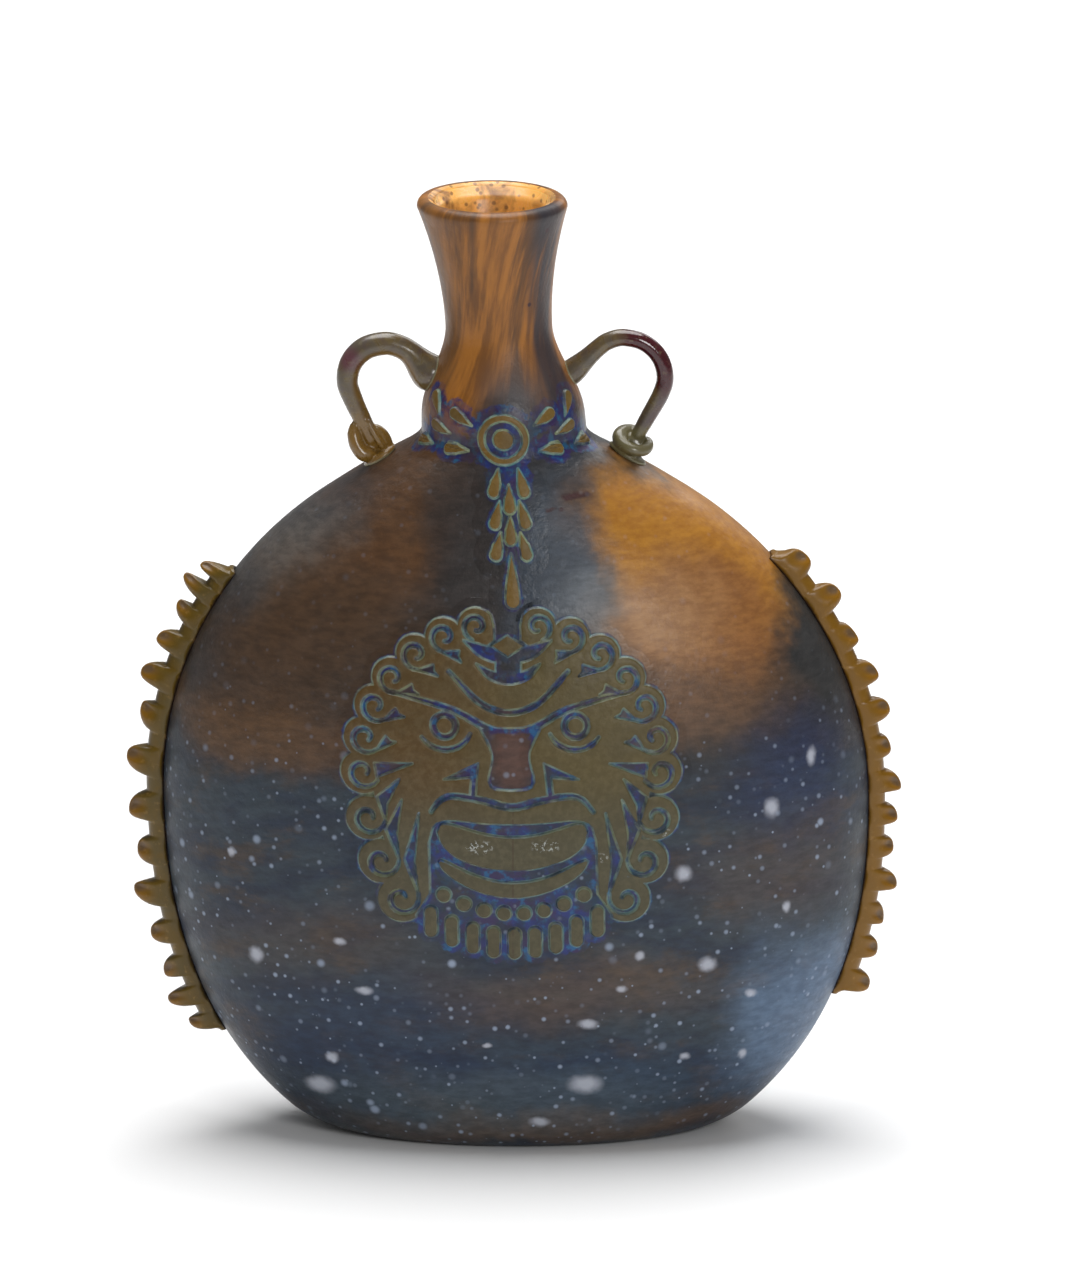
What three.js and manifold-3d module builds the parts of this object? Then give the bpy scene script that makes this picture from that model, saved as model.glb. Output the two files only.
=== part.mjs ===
// A two-handled pilgrim flask in cameo glass: a round bulb pressed flat, a flared neck, two drawn
// rod handles, two crimped crests down the sides, and islands of olive overlay glass left standing
// on the front: a garland round the neck, a pendant of petals and a grotesque mask.
// Millimetres, +Z up, the mask faces -Y, the flat foot stands on z = 0 about the origin.

import * as THREE from 'three';
import { mergeVertices } from 'three/addons/utils/BufferGeometryUtils.js';
import Module from 'manifold-3d';

const wasm = await Module();
wasm.setup();

// Vessel
const height = 240;
const bulbWidth = 177.6;
const bulbDepth = 84;
const beltHeight = 88;
const bulbTop = 178;
const bulbSunk = 13;
const bellyFullness = 2.3;
const shoulderFullness = 1.95;
const shoulderBlend = 26;
const footRound = 6;
const neckBaseWidth = 41;
const neckBaseHeight = 184;
const neckWaistWidth = 26.8;
const neckWaistHeight = 207;
const lipWidth = 39.4;
const lipFlare = 1.9;
const wall = 4.6;
const floorThickness = 7;
const lipDrift = 6.9;

// Clearance between glass that is fused on the real vase, and the thickness of the overlay
const seatGap = 0.3;
const overlayThickness = 0.9;

// Handles, drawn from rod: the left one is thicker and ends in a folded knot, the right in a coil
const leftHandle = {
  side: -1,
  rod: 5.6,
  flare: 0.7,
  padHeight: 195,
  padSize: 8.6,
  standOff: 3,
  bendRadius: 9.4,
  bendHeight: 193.2,
  seatHeight: 173,
};
const rightHandle = {
  side: 1,
  rod: 4.4,
  flare: 0.45,
  padHeight: 195.5,
  padSize: 6.4,
  standOff: 4.8,
  bendRadius: 9.8,
  bendHeight: 194.5,
  seatHeight: 173.5,
};
const flareReach = 5;
const knotRise = 3;
const knotLobe = 6;
const tailRod = 3.4;
const tailLength = 9.4;
const coilRadius = 3.7;
const coilRod = 2.9;
const coilTilt = 22;
const coilRoll = 14;

// Crests: a trail of glass laid down each side edge and pinched into teeth. A tooth is bent along the
// trail by its hook, and sway crowds the teeth together in some places and spreads them in others.
const crestWidth = 7.2;
const crestNotch = 3.6;
const toothHalf = 0.34;
const toothSway = 0.12;
const crestEnd = 2.4;
const leftCrest = {
  side: -1,
  low: 24.8,
  high: 145.6,
  tooth: 9.3,
  pitch: 9.2,
  hook: 0.6,
  hookSway: 1.6,
  sway: [-0.025, 0.045],
};
const rightCrest = {
  side: 1,
  low: 34.2,
  high: 151.1,
  tooth: 7.6,
  pitch: 9.2,
  hook: -2,
  hookSway: 0.9,
  sway: [0.035, -0.013],
};

// Garland and pendant
const rosetteHeight = 182.5;
const rosetteRadius = 6.3;
const rosetteBand = 1.7;
const bossRadius = 2.6;
const petalLength = 7.2;
const petalWidth = 3;
const petalGap = 0.4;
const petalTip = 0.1;
const petalShoulder = 70;
const garland = [
  { turn: 31, rise: 4.8, tilt: 27 },
  { turn: 34, rise: -3.2, tilt: -3 },
  { turn: 49, rise: 1.3, tilt: 14 },
  { turn: 56, rise: 7, tilt: 55 },
  { turn: 66, rise: -3.2, tilt: -3 },
];

// The pendant's rows and its drop share out the height between the rosette and the mask's lozenge
const pendantAside = 0.9;
const pendantSpread = 3.3;
const pendantTilt = 0.25;
const pendantClearance = 6.3;
const pendantPitchShare = 0.222;
const pendantDropShare = 0.405;
const dropWidth = 3.75;

// Mask, drawn about a middle of its own
const maskHeight = 100;
const maskAside = -0.8;
const curlRing = 37;
const crownStretch = 0.99;
const chinStretch = 1.38;
const curlLift = 2.4;
const curlRadius = 4.7;
const curlGrowth = 0.155;
const curlsPerSide = 10;
const curlFirst = 78;
const curlStep = 13.2;
const fieldShare = 0.94;
const slotWidth = 1.15;
const slotLead = 30;
const slotTurn = 300;
const slotReach = 0.72;
const slotEye = 0.24;
const flagLength = 5;
const flagSpread = 35;
const firstMane = 6;
const maneRoot = [21.5, -2];
const maneReach = 6.8;
const maneFirst = 63;
const maneStep = 46;
const maneWidth = 3.4;
const maneShift = 2.3;
const maneThinning = 0.3;
const cheekWing = [
  [8.2, 4.5],
  [12.6, 2.3],
  [16.8, 0.3],
  [9.9, 0.9],
  [10.4, -4.2],
  [9, -4.2],
  [8.6, 0.9],
];
const noseEdge = [
  [7.6, 13.4],
  [4.7, 6.6],
  [5.7, 0.4],
  [4.4, -1.9],
  [0, -2.4],
];
const cleftEdge = [
  [3.2, 26],
  [3.3, 38.4],
  [5.6, 48],
];
const foreheadWing = [
  [0, 31.4],
  [5.4, 32],
  [10.8, 34.8],
];
const foreheadArc = [
  [0, 25.6],
  [4.4, 26.5],
  [7.9, 29.2],
];
const browLine = [
  [0, 12.1],
  [6, 13.5],
  [13, 17.3],
  [20.7, 19.7],
  [30.3, 22],
];
const moustacheLine = [
  [0, -6.6],
  [7.3, -4.9],
  [14.5, -3.9],
  [17.8, -5],
  [20.2, -8],
];
const wingWidth = 4.2;
const arcWidth = 2.8;
const smileWidth = 1.3;
const browWidth = 1.7;
const moustacheWidth = 1.6;
const eyeSpread = 16.3;
const eyeLift = 13.8;
const eyeRadius = 3.5;
const pupilRadius = 2.1;
const bagRadius = 7;
const bagDrop = 6;
const bagFrom = 205;
const bagTo = 325;
const smileHalf = 14.8;
const smileLevel = 17.2;
const smileRise = 10.1;
const mouthHalf = 20.9;
const roofLevel = -9;
const roofSag = 2.2;
const roofCorner = 7;
const jowlLevel = -29.5;
const jowlSpread = 3.5;
const jowlDrop = 5.5;
const lipHalf = 18.9;
const tongueLevel = -13.3;
const tongueHeight = 8.8;
const tongueSag = 5.5;
const lowerLipLevel = -21;
const lowerLipHeight = 4.1;
const lowerLipSag = 7.25;
const diamondWidth = 8.4;
const diamondHeight = 5.4;
const diamondLift = 33.6;
const diamondMargin = 0.9;
const beadCount = 8;
const beadRadius = 1.9;
const beadPitch = 5;
const beadLevel = -34.4;
const beadCurve = 0.0153;
const tabCount = 9;
const tabWidth = 3.4;
const tabHeight = 8.3;
const tabPitch = 5.2;
const tabLevel = -42.3;
const tabCurve = 0.0128;

// Faceting
const around = 36;
const toothRings = [-1, -0.78, -0.42, 0, 0.42, 0.78, 1];
const crestSides = 8;
const rodSides = 8;
const rodSteps = 22;

const olive = { color: 0x6b6428, roughness: 0.5 };
const smoky = { color: 0x454038, roughness: 0.55 };
const ochre = { color: 0x8a6420, roughness: 0.35 };
const drawn = { color: 0x6e6440, roughness: 0.3 };

const group = new THREE.Group();

function addMesh(name, geometry, finish) {
  const mesh = new THREE.Mesh(geometry, new THREE.MeshStandardMaterial({ ...finish, metalness: 0 }));
  mesh.name = name;
  group.add(mesh);
}

// The larger of two sizes, with a round fillet where they are nearly alike
function smoothMax(a, b, blend) {
  const near = Math.max(blend - Math.abs(a - b), 0) / blend;
  return Math.max(a, b) + (near * near * blend) / 4;
}

function smoothStep(t) {
  const s = THREE.MathUtils.clamp(t, 0, 1);
  return s * s * (3 - 2 * s);
}

// Share of the bulb's greatest half size that is left at a height
function bulbShare(z) {
  const below = z < beltHeight;
  const reach = below ? beltHeight + bulbSunk : bulbTop - beltHeight;
  const fullness = below ? bellyFullness : shoulderFullness;
  const t = Math.min(Math.abs(z - beltHeight) / reach, 1);
  return Math.pow(1 - Math.pow(t, fullness), 1 / fullness);
}

function neckRadius(z) {
  const waist = neckWaistWidth / 2;
  if (z > neckWaistHeight) {
    const t = (z - neckWaistHeight) / (height - neckWaistHeight);
    return waist + (lipWidth / 2 - waist) * Math.pow(t, lipFlare);
  }
  const t = (neckWaistHeight - z) / (neckWaistHeight - neckBaseHeight);
  return waist + (neckBaseWidth / 2 - waist) * smoothStep(t);
}

function footLoss(z) {
  if (z >= footRound) return 0;
  const t = 1 - z / footRound;
  return footRound * (1 - Math.sqrt(1 - t * t));
}

function halfSize(z, bulbHalf) {
  return smoothMax(bulbHalf * bulbShare(z), neckRadius(z), shoulderBlend) - footLoss(z);
}

const halfWidth = (z) => halfSize(z, bulbWidth / 2);
const halfDepth = (z) => halfSize(z, bulbDepth / 2);

// A point on the vessel's outside, lifted off it along its normal
function skin(angle, z, lift = 0) {
  const w = halfWidth(z);
  const d = halfDepth(z);
  const step = 0.02;
  const wSlope = (halfWidth(z + step) - halfWidth(Math.max(z - step, 0))) / (2 * step);
  const dSlope = (halfDepth(z + step) - halfDepth(Math.max(z - step, 0))) / (2 * step);
  const c = Math.cos(angle);
  const s = Math.sin(angle);
  const normal = new THREE.Vector3(c / w, s / d, -((c * c * wSlope) / w + (s * s * dSlope) / d));
  return new THREE.Vector3(w * c, d * s, z).addScaledVector(normal.normalize(), lift);
}

function skinNormal(angle, z) {
  return skin(angle, z, 1).sub(skin(angle, z, 0));
}

// The neck drifts to the left as it rises, and the foot stays where it is
function lean(geometry) {
  const p = geometry.attributes.position;
  for (let i = 0; i < p.count; i++) {
    p.setX(i, p.getX(i) - lipDrift * Math.pow(p.getZ(i) / height, 2));
  }
  return geometry;
}

// One closed surface: only positions, shared vertices merged, slivers at poles dropped
function welded(geometry) {
  const copy = geometry.clone();
  copy.deleteAttribute('normal');
  copy.deleteAttribute('uv');
  const merged = mergeVertices(copy, 1e-4);
  const kept = [];
  const index = merged.index.array;
  for (let i = 0; i < index.length; i += 3) {
    const [a, b, c] = [index[i], index[i + 1], index[i + 2]];
    if (a !== b && b !== c && c !== a) kept.push(a, b, c);
  }
  merged.setIndex(kept);
  return merged;
}

function toSolid(geometry) {
  const merged = welded(geometry);
  return new wasm.Manifold(new wasm.Mesh({
    numProp: 3,
    vertProperties: new Float32Array(merged.attributes.position.array),
    triVerts: new Uint32Array(merged.index.array),
  }));
}

function toGeometry(solid) {
  const mesh = solid.getMesh();
  const geometry = new THREE.BufferGeometry();
  geometry.setAttribute('position', new THREE.BufferAttribute(new Float32Array(mesh.vertProperties), 3));
  geometry.setIndex(new THREE.BufferAttribute(new Uint32Array(mesh.triVerts), 1));
  return geometry;
}

// Moves every vertex of a geometry to the place that a function gives it
function reshaped(geometry, place) {
  const p = geometry.attributes.position;
  for (let i = 0; i < p.count; i++) {
    const to = place(new THREE.Vector3().fromBufferAttribute(p, i), i);
    p.setXYZ(i, to.x, to.y, to.z);
  }
  return geometry;
}

function spaced(from, to, count) {
  return Array.from({ length: count + 1 }, (_, i) => from + ((to - from) * i) / count);
}

// Levels up the vessel, closer together where its outline turns
function levels() {
  const turnLow = bulbTop - shoulderBlend / 2;
  const foot = [0, 0.12, 0.4].map((share) => share * footRound);
  const belly = spaced(footRound, beltHeight, 6);
  const shoulder = spaced(beltHeight, turnLow, 6).slice(1);
  const turn = spaced(turnLow, neckBaseHeight, 4).slice(1);
  const neck = spaced(neckBaseHeight, height - wall / 2, 8).slice(1);
  return [...foot, ...belly, ...shoulder, ...turn, ...neck];
}

// A revolved profile pressed flat: each ring is a function of the angle
function pressed(rings) {
  const profile = rings.map((_, i) => new THREE.Vector2(1, i));
  const geometry = new THREE.LatheGeometry(profile, around);
  return reshaped(geometry, (_, i) => {
    const column = Math.floor(i / rings.length);
    const angle = (2 * Math.PI * (column % around)) / around;
    return rings[i % rings.length](angle);
  });
}

const pole = (z) => () => new THREE.Vector3(0, 0, z);
const ringAt = (z, lift) => (angle) => skin(angle, z, lift);

function lipRings() {
  const radius = neckRadius(height - wall / 2) - wall / 2;
  return [45, 90, 135].map((degrees) => (angle) => {
    const turn = THREE.MathUtils.degToRad(degrees);
    const r = radius + (wall / 2) * Math.cos(turn);
    return new THREE.Vector3(r * Math.cos(angle), r * Math.sin(angle),
      height - wall / 2 + (wall / 2) * Math.sin(turn));
  });
}

function vessel() {
  const rising = levels();
  const outside = rising.map((z) => ringAt(z, 0));
  const inside = rising.filter((z, i) => z > footRound && (i % 2 === 0 || z > neckBaseHeight))
    .reverse().map((z) => ringAt(z, -wall));
  const floorEdge = (angle) => {
    const edge = skin(angle, footRound, -wall).multiplyScalar(0.86);
    return edge.setZ(floorThickness + 0.3);
  };
  return pressed([pole(0), ...outside, ...lipRings(), ...inside, floorEdge, pole(floorThickness)]);
}

// The solid that the vessel fills out to a height above its skin, closed across the mouth
function filled(lift) {
  const rising = levels().filter((z) => z > 0);
  return pressed([pole(-lift), ...rising.map((z) => ringAt(z, lift)), pole(height)]);
}

const clearance = toSolid(filled(seatGap));
const overlay = toSolid(filled(seatGap + overlayThickness)).subtract(clearance);

// Handles
// A rod drawn along a curve; its first end swells out by the flare, a share of the rod's thickness
function rodAlong(points, diameter, flare = 0, steps = rodSteps) {
  const path = new THREE.CatmullRomCurve3(points);
  const length = path.getLength();
  const frames = path.computeFrenetFrames(steps, false);
  const tube = new THREE.CylinderGeometry(1, 1, 1, rodSides, steps);
  return toSolid(reshaped(tube, (unit) => {
    const share = unit.y + 0.5;
    const step = Math.round(share * steps);
    const radius = (diameter / 2) * (1 + flare * Math.exp(-(((share * length) / flareReach) ** 2)));
    return path.getPointAt(share)
      .addScaledVector(frames.normals[step], radius * unit.x)
      .addScaledVector(frames.binormals[step], -radius * unit.z);
  }));
}

function blob(centre, sizeX, sizeY, sizeZ, turn = 0) {
  const ball = new THREE.SphereGeometry(0.5, 10, 7);
  ball.scale(sizeX, sizeY, sizeZ);
  ball.rotateY(turn);
  ball.translate(centre.x, centre.y, centre.z);
  return toSolid(ball);
}

function handleAnchors(spec) {
  const angle = spec.side < 0 ? Math.PI : 0;
  const pad = skin(angle, spec.padHeight, 0);
  const seat = skin(angle, spec.seatHeight, 0);
  const bendOut = Math.abs(pad.x) + spec.standOff + spec.bendRadius;
  const bend = new THREE.Vector3(spec.side * bendOut, 0, spec.bendHeight);
  return { pad, seat, bend, normal: skinNormal(angle, spec.seatHeight) };
}

// From the pad up over a round bend, then straight down to a point above the seat
function handlePath(spec, anchors, end) {
  const { pad, bend } = anchors;
  const inside = pad.x - spec.side * spec.rod * 0.22;
  const outside = pad.x + spec.side * spec.rod * 0.4;
  const points = [pad.clone().setX(inside), pad.clone().setX(outside)];
  for (const degrees of [142, 116, 90, 60, 30, 0, -28]) {
    const turn = THREE.MathUtils.degToRad(degrees);
    points.push(new THREE.Vector3(
      bend.x + spec.side * spec.bendRadius * Math.cos(turn),
      0,
      bend.z + spec.bendRadius * Math.sin(turn),
    ));
  }
  points.push(points[points.length - 1].clone().lerp(end, 0.55));
  points.push(end);
  return points;
}

function padBlob(spec, pad) {
  return blob(pad, spec.padSize * 0.5, spec.padSize, spec.padSize * 1.25, spec.side * 0.35);
}

const moved = (point, x, y, z) => point.clone().add(new THREE.Vector3(x, y, z));

// The rod's end is bent out and folded back up beside the leg, and pressed flat on the inner side
function leftHandleSolid() {
  const spec = leftHandle;
  const anchors = handleAnchors(spec);
  const end = anchors.seat.clone().addScaledVector(anchors.normal, knotRise);
  const tail = [
    moved(end, 0, -tailRod * 0.24, -tailRod * 0.24),
    moved(end, -tailRod * 0.85, -tailRod * 0.35, -tailRod * 0.18),
    moved(end, -tailRod * 1.3, -tailRod * 0.32, tailLength * 0.3),
    moved(end, -tailRod * 1.45, -tailRod * 0.15, tailLength),
  ];
  const web = moved(end, knotLobe * 0.14, 0, knotLobe * 0.3);
  return rodAlong(handlePath(spec, anchors, end), spec.rod, spec.flare)
    .add(padBlob(spec, anchors.pad))
    .add(rodAlong(tail, tailRod, 0, 10))
    .add(blob(web, knotLobe * 1.15, knotLobe * 0.8, knotLobe * 1.9, 0.5))
    .add(blob(anchors.seat, knotLobe * 1.8, knotLobe * 1.3, knotLobe * 0.6, -0.6))
    .subtract(clearance);
}

function rightHandleSolid() {
  const spec = rightHandle;
  const anchors = handleAnchors(spec);
  const centre = anchors.seat.clone().addScaledVector(anchors.normal, coilRadius + coilRod * 0.1);
  const end = moved(centre, 0, 0, coilRod * 0.14);
  const coil = new THREE.TorusGeometry(coilRadius, coilRod / 2, 7, 16);
  coil.rotateX(THREE.MathUtils.degToRad(coilTilt));
  coil.rotateY(THREE.MathUtils.degToRad(coilRoll));
  coil.translate(centre.x, centre.y, centre.z);
  const seat = anchors.seat.clone().addScaledVector(anchors.normal, seatGap);
  return rodAlong(handlePath(spec, anchors, end), spec.rod, spec.flare)
    .add(padBlob(spec, anchors.pad))
    .add(toSolid(coil))
    .add(blob(seat, coilRadius * 2.8, coilRadius * 2.1, coilRadius, Math.PI / 5.5))
    .subtract(clearance);
}

// Crests
function crestRun(spec) {
  const angle = spec.side < 0 ? Math.PI : 0;
  const marks = spaced(spec.low, spec.high, 80).map((z) => skin(angle, z));
  const lengths = [0];
  for (let i = 1; i < marks.length; i++) {
    lengths.push(lengths[i - 1] + marks[i].distanceTo(marks[i - 1]));
  }
  const total = lengths[lengths.length - 1];
  const heightAt = (distance) => {
    let i = 1;
    while (i < lengths.length - 1 && lengths[i] < distance) i++;
    const t = (distance - lengths[i - 1]) / (lengths[i] - lengths[i - 1]);
    return THREE.MathUtils.lerp(marks[i - 1].z, marks[i].z, t);
  };
  return { angle, total, heightAt, teeth: Math.round(total / spec.pitch) };
}

// A pinched tooth as a share of its height: a blunt finger with the plain trail on both sides of it
function lobe(local) {
  const aside = Math.min(Math.abs(local) / toothHalf, 1);
  return (1 - aside ** 2.2) ** 0.75;
}

// Places of the crest's rings, counted in teeth from its lower end
function ringPhases(teeth) {
  const phases = [0];
  for (let tooth = 0; tooth < teeth; tooth++) {
    for (const ring of toothRings) phases.push(tooth + 0.5 + ring * toothHalf);
  }
  return [...phases, teeth];
}

// How far along a place lies, how far the crest stands out there and how far its top is bent
function crestTop(spec, run, phase) {
  const share = phase / run.teeth;
  const [once, twice] = spec.sway;
  const crowding = once * Math.sin(Math.PI * share) + twice * Math.sin(2 * Math.PI * share);
  const distance = run.total * (share - crowding);
  const tooth = Math.min(Math.floor(phase), run.teeth - 1);
  const tall = spec.tooth * (1 + toothSway * Math.sin(2.3 * tooth + spec.side));
  const rise = lobe(phase - tooth - 0.5);
  const fade = smoothStep(Math.min(distance, run.total - distance) / crestEnd);
  const hook = spec.hook + spec.hookSway * Math.sin(1.7 * tooth + 1);
  const reach = crestNotch * (0.4 + 0.6 * fade) + (tall - crestNotch) * rise;
  return { distance, reach, rise, hook };
}

function crestSolid(spec) {
  const run = crestRun(spec);
  const phases = ringPhases(run.teeth);
  const steps = phases.length - 1;
  const tube = new THREE.CylinderGeometry(1, 1, 1, crestSides, steps);
  return reshaped(tube, (unit) => {
    const top = crestTop(spec, run, phases[Math.round((unit.y + 0.5) * steps)]);
    const z = run.heightAt(top.distance);
    const dome = unit.z > 0 ? Math.pow(unit.z, 0.8) : 0;
    const turn = Math.asin(((crestWidth / 2) * unit.x) / halfDepth(z));
    const ahead = skin(run.angle, z + 0.5).sub(skin(run.angle, z - 0.5)).normalize();
    return skin(run.angle + turn, z, seatGap)
      .addScaledVector(skinNormal(run.angle, z), top.reach * dome)
      .addScaledVector(ahead, top.hook * Math.pow(top.rise * dome, 2));
  });
}

// Overlay islands
function prism(shape, depth) {
  return new THREE.ExtrudeGeometry(shape, { depth, bevelEnabled: false, curveSegments: 6 });
}

// Cuts an outline, drawn as seen from the front, through the overlay on the vessel's face
function frontSolid(shape, level, aside = 0) {
  const bar = prism(shape, bulbDepth);
  bar.rotateX(Math.PI / 2);
  bar.translate(aside, 0, level);
  return toSolid(bar);
}

const frontIsland = (shape, level) => frontSolid(shape, level).intersect(overlay);

// The same, for an outline that looks out from a place round the neck
function islandAt(shape, angle, z) {
  const bar = prism(shape, neckBaseWidth / 3);
  bar.translate(0, 0, -neckBaseWidth / 6);
  const out = skinNormal(angle, z);
  const along = new THREE.Vector3(-Math.sin(angle), Math.cos(angle), 0);
  const up = out.clone().cross(along);
  bar.applyMatrix4(new THREE.Matrix4().makeBasis(along, up, out).setPosition(skin(angle, z)));
  return toSolid(bar).intersect(overlay);
}

function disc(x, y, radius, sides = 16) {
  const shape = new THREE.Shape();
  for (let i = 0; i < sides; i++) {
    const turn = (2 * Math.PI * i) / sides;
    shape[i ? 'lineTo' : 'moveTo'](x + radius * Math.cos(turn), y + radius * Math.sin(turn));
  }
  return shape;
}

function outline(points) {
  return new THREE.Shape(points.map(([x, y]) => new THREE.Vector2(x, y)));
}

// A teardrop: round at one end, pointed at the other, its point towards `turn`
function teardrop(x, y, length, width, turn) {
  const radius = width / 2;
  const tip = length - radius - petalTip;
  const rounding = spaced(petalShoulder, 360 - petalShoulder, 5).map((degrees) => {
    const a = THREE.MathUtils.degToRad(degrees);
    return [radius * Math.cos(a), radius * Math.sin(a)];
  });
  const back = -(length / 2 - radius);
  return outline([[tip, 0], ...rounding].map(([u, v]) => [
    x + (u + back) * Math.cos(turn) - v * Math.sin(turn),
    y + (u + back) * Math.sin(turn) + v * Math.cos(turn),
  ]));
}

// A band of even width along a row of points, tapered to nothing at its ends where asked
function stroke(points, width, taper = 0) {
  const last = points.length - 1;
  const left = [];
  const right = [];
  points.forEach(([x, y], i) => {
    const [ax, ay] = points[Math.max(i - 1, 0)];
    const [bx, by] = points[Math.min(i + 1, last)];
    const long = Math.hypot(bx - ax, by - ay);
    const end = Math.min(i, last - i) / last;
    const half = (width / 2) * (1 - taper * Math.pow(1 - 2 * end, 2));
    left.push([x - ((by - ay) / long) * half, y + ((bx - ax) / long) * half]);
    right.unshift([x + ((by - ay) / long) * half, y - ((bx - ax) / long) * half]);
  });
  return outline([...left, ...right]);
}

const mirrored = (points) => points.map(([x, y]) => [-x, y]);

function arcPoints(x, y, radius, from, to, count) {
  return spaced(from, to, count).map((degrees) => {
    const a = THREE.MathUtils.degToRad(degrees);
    return [x + radius * Math.cos(a), y + radius * Math.sin(a)];
  });
}

// Fullness of a band that hangs between two ends; a higher bluntness keeps it full for longer
const fullness = (t, blunt) => Math.sqrt(Math.max(1 - t ** blunt, 0));

function hangingEdge(level, tall, sag, blunt, side) {
  return spaced(-1, 1, 14).map((t) => [
    lipHalf * t,
    level - sag * (1 - t * t) + (side * tall * fullness(t, blunt)) / 2,
  ]);
}

function hangingBand(level, tall, sag, blunt) {
  const upper = hangingEdge(level, tall, sag, blunt, 1);
  const lower = hangingEdge(level, tall, sag, blunt, -1).reverse();
  return outline([...upper, ...lower.slice(1, -1)]);
}

// The mouth's opening: a nearly straight roof with round corners, spreading below the jowls
function mouthOpening() {
  const roof = spaced(-1, 1, 14).map((t) => [
    mouthHalf * t,
    roofLevel - roofSag * (1 - t * t) - roofCorner * (1 - fullness(t, 8)),
  ]);
  const low = tabLevel - tabHeight;
  const wide = mouthHalf + jowlSpread;
  const jowl = [[mouthHalf, jowlLevel], [wide, jowlLevel - jowlDrop], [wide, low]];
  return outline([...mirrored(jowl).reverse(), ...roof, ...jowl]);
}

// A point on the oval that the volutes stand on, or on a smaller one inside it
function ringPoint(turn, share = 1) {
  const stretch = Math.sin(turn) > 0 ? crownStretch : chinStretch;
  return [share * curlRing * Math.cos(turn), curlLift + share * curlRing * stretch * Math.sin(turn)];
}

function polar([x, y], degrees, distance) {
  const a = THREE.MathUtils.degToRad(degrees);
  return [x + distance * Math.cos(a), y + distance * Math.sin(a)];
}

const curlCentre = (k) => ringPoint(THREE.MathUtils.degToRad(curlFirst - curlStep * k));
const curlSize = (k) => curlRadius + curlGrowth * k;

// The direction, in degrees, from a volute's middle to the middle of the face
function inward(k) {
  const [x, y] = curlCentre(k);
  return THREE.MathUtils.radToDeg(Math.atan2(curlLift - y, -x));
}

// The slot of a volute winds in from the side of the face round the volute's eye
function slotPoint(k, t) {
  const reach = curlSize(k) * THREE.MathUtils.lerp(slotReach, slotEye, t);
  return polar(curlCentre(k), inward(k) + slotLead + slotTurn * t, reach);
}

// A flag-shaped cut under the lock beside a volute of the hair
function flagCut(k) {
  const start = slotPoint(k, 0);
  const along = inward(k) - flagSpread;
  const heel = polar(start, along + 150, 0.5);
  const corner = polar(start, along - flagSpread, flagLength * 0.8);
  return [heel, polar(start, along, flagLength), corner];
}

// A long wedge between the locks of the mane, from a volute up to the cheek
function maneCut(k) {
  const order = k - firstMane;
  const [x, y] = curlCentre(k);
  const tip = polar(maneRoot, maneFirst - maneStep * order, maneReach);
  const along = THREE.MathUtils.radToDeg(Math.atan2(tip[1] - y, tip[0] - x));
  const broad = polar([x, y], along, maneWidth + maneShift * order);
  const half = (maneWidth - maneThinning * order) / 2;
  return [slotPoint(k, 0), polar(broad, along + 90, half), tip, polar(broad, along - 90, half)];
}

// Cuts on the right half of the face, to be mirrored onto the left
function sideCuts() {
  const cuts = [];
  for (let k = 0; k < curlsPerSide; k++) {
    cuts.push(stroke(spaced(0, 1, 7).map((t) => slotPoint(k, t)), slotWidth, 0.4));
    if (k > 0) cuts.push(outline(k < firstMane ? flagCut(k) : maneCut(k)));
  }
  cuts.push(disc(eyeSpread, eyeLift, eyeRadius));
  const bag = arcPoints(eyeSpread, eyeLift + bagRadius - bagDrop, bagRadius, bagFrom, bagTo, 8);
  cuts.push(stroke(bag, slotWidth, 0.5));
  cuts.push(outline(cheekWing));
  return cuts;
}

// A smooth line through a few points
function lineThrough(points, count) {
  const curve = new THREE.SplineCurve(points.map(([x, y]) => new THREE.Vector2(x, y)));
  return curve.getPoints(count).map(({ x, y }) => [x, y]);
}

// A groove across the face, from the points of its right half, the first one on the middle
function bow(right, width, taper) {
  const points = [...mirrored(right.slice(1)).reverse(), ...right];
  return stroke(lineThrough(points, 14), width, taper);
}

// The lozenge on the forehead, or the clearance round it
function lozenge(margin) {
  const half = diamondWidth / 2 + margin;
  const tall = diamondHeight / 2 + margin;
  const middle = diamondLift;
  return outline([[half, middle], [0, middle + tall], [-half, middle], [0, middle - tall]]);
}

// Cuts that cross the middle of the face: forehead, smile line, brow, nose and moustache
function middleCuts() {
  const smileSide = [smileHalf, smileLevel + smileRise];
  const smileMiddle = [smileHalf / 2, smileLevel + smileRise / 4];
  const nose = lineThrough(noseEdge, 8);
  return [
    outline([...cleftEdge, ...mirrored(cleftEdge).reverse()]),
    lozenge(diamondMargin),
    bow(foreheadWing, wingWidth, 0.9),
    bow(foreheadArc, arcWidth, 0.9),
    bow([[0, smileLevel], smileMiddle, smileSide], smileWidth, 0.4),
    bow(browLine, browWidth, 0.5),
    outline([...nose, ...mirrored(nose).reverse().slice(1)]),
    bow(moustacheLine, moustacheWidth, 0.5),
  ];
}

const faceOutline = (shape) => frontSolid(shape, maskHeight, maskAside);

function mirroredSolid(solid) {
  return solid.translate([-maskAside, 0, 0]).mirror([1, 0, 0]).translate([maskAside, 0, 0]);
}

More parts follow.
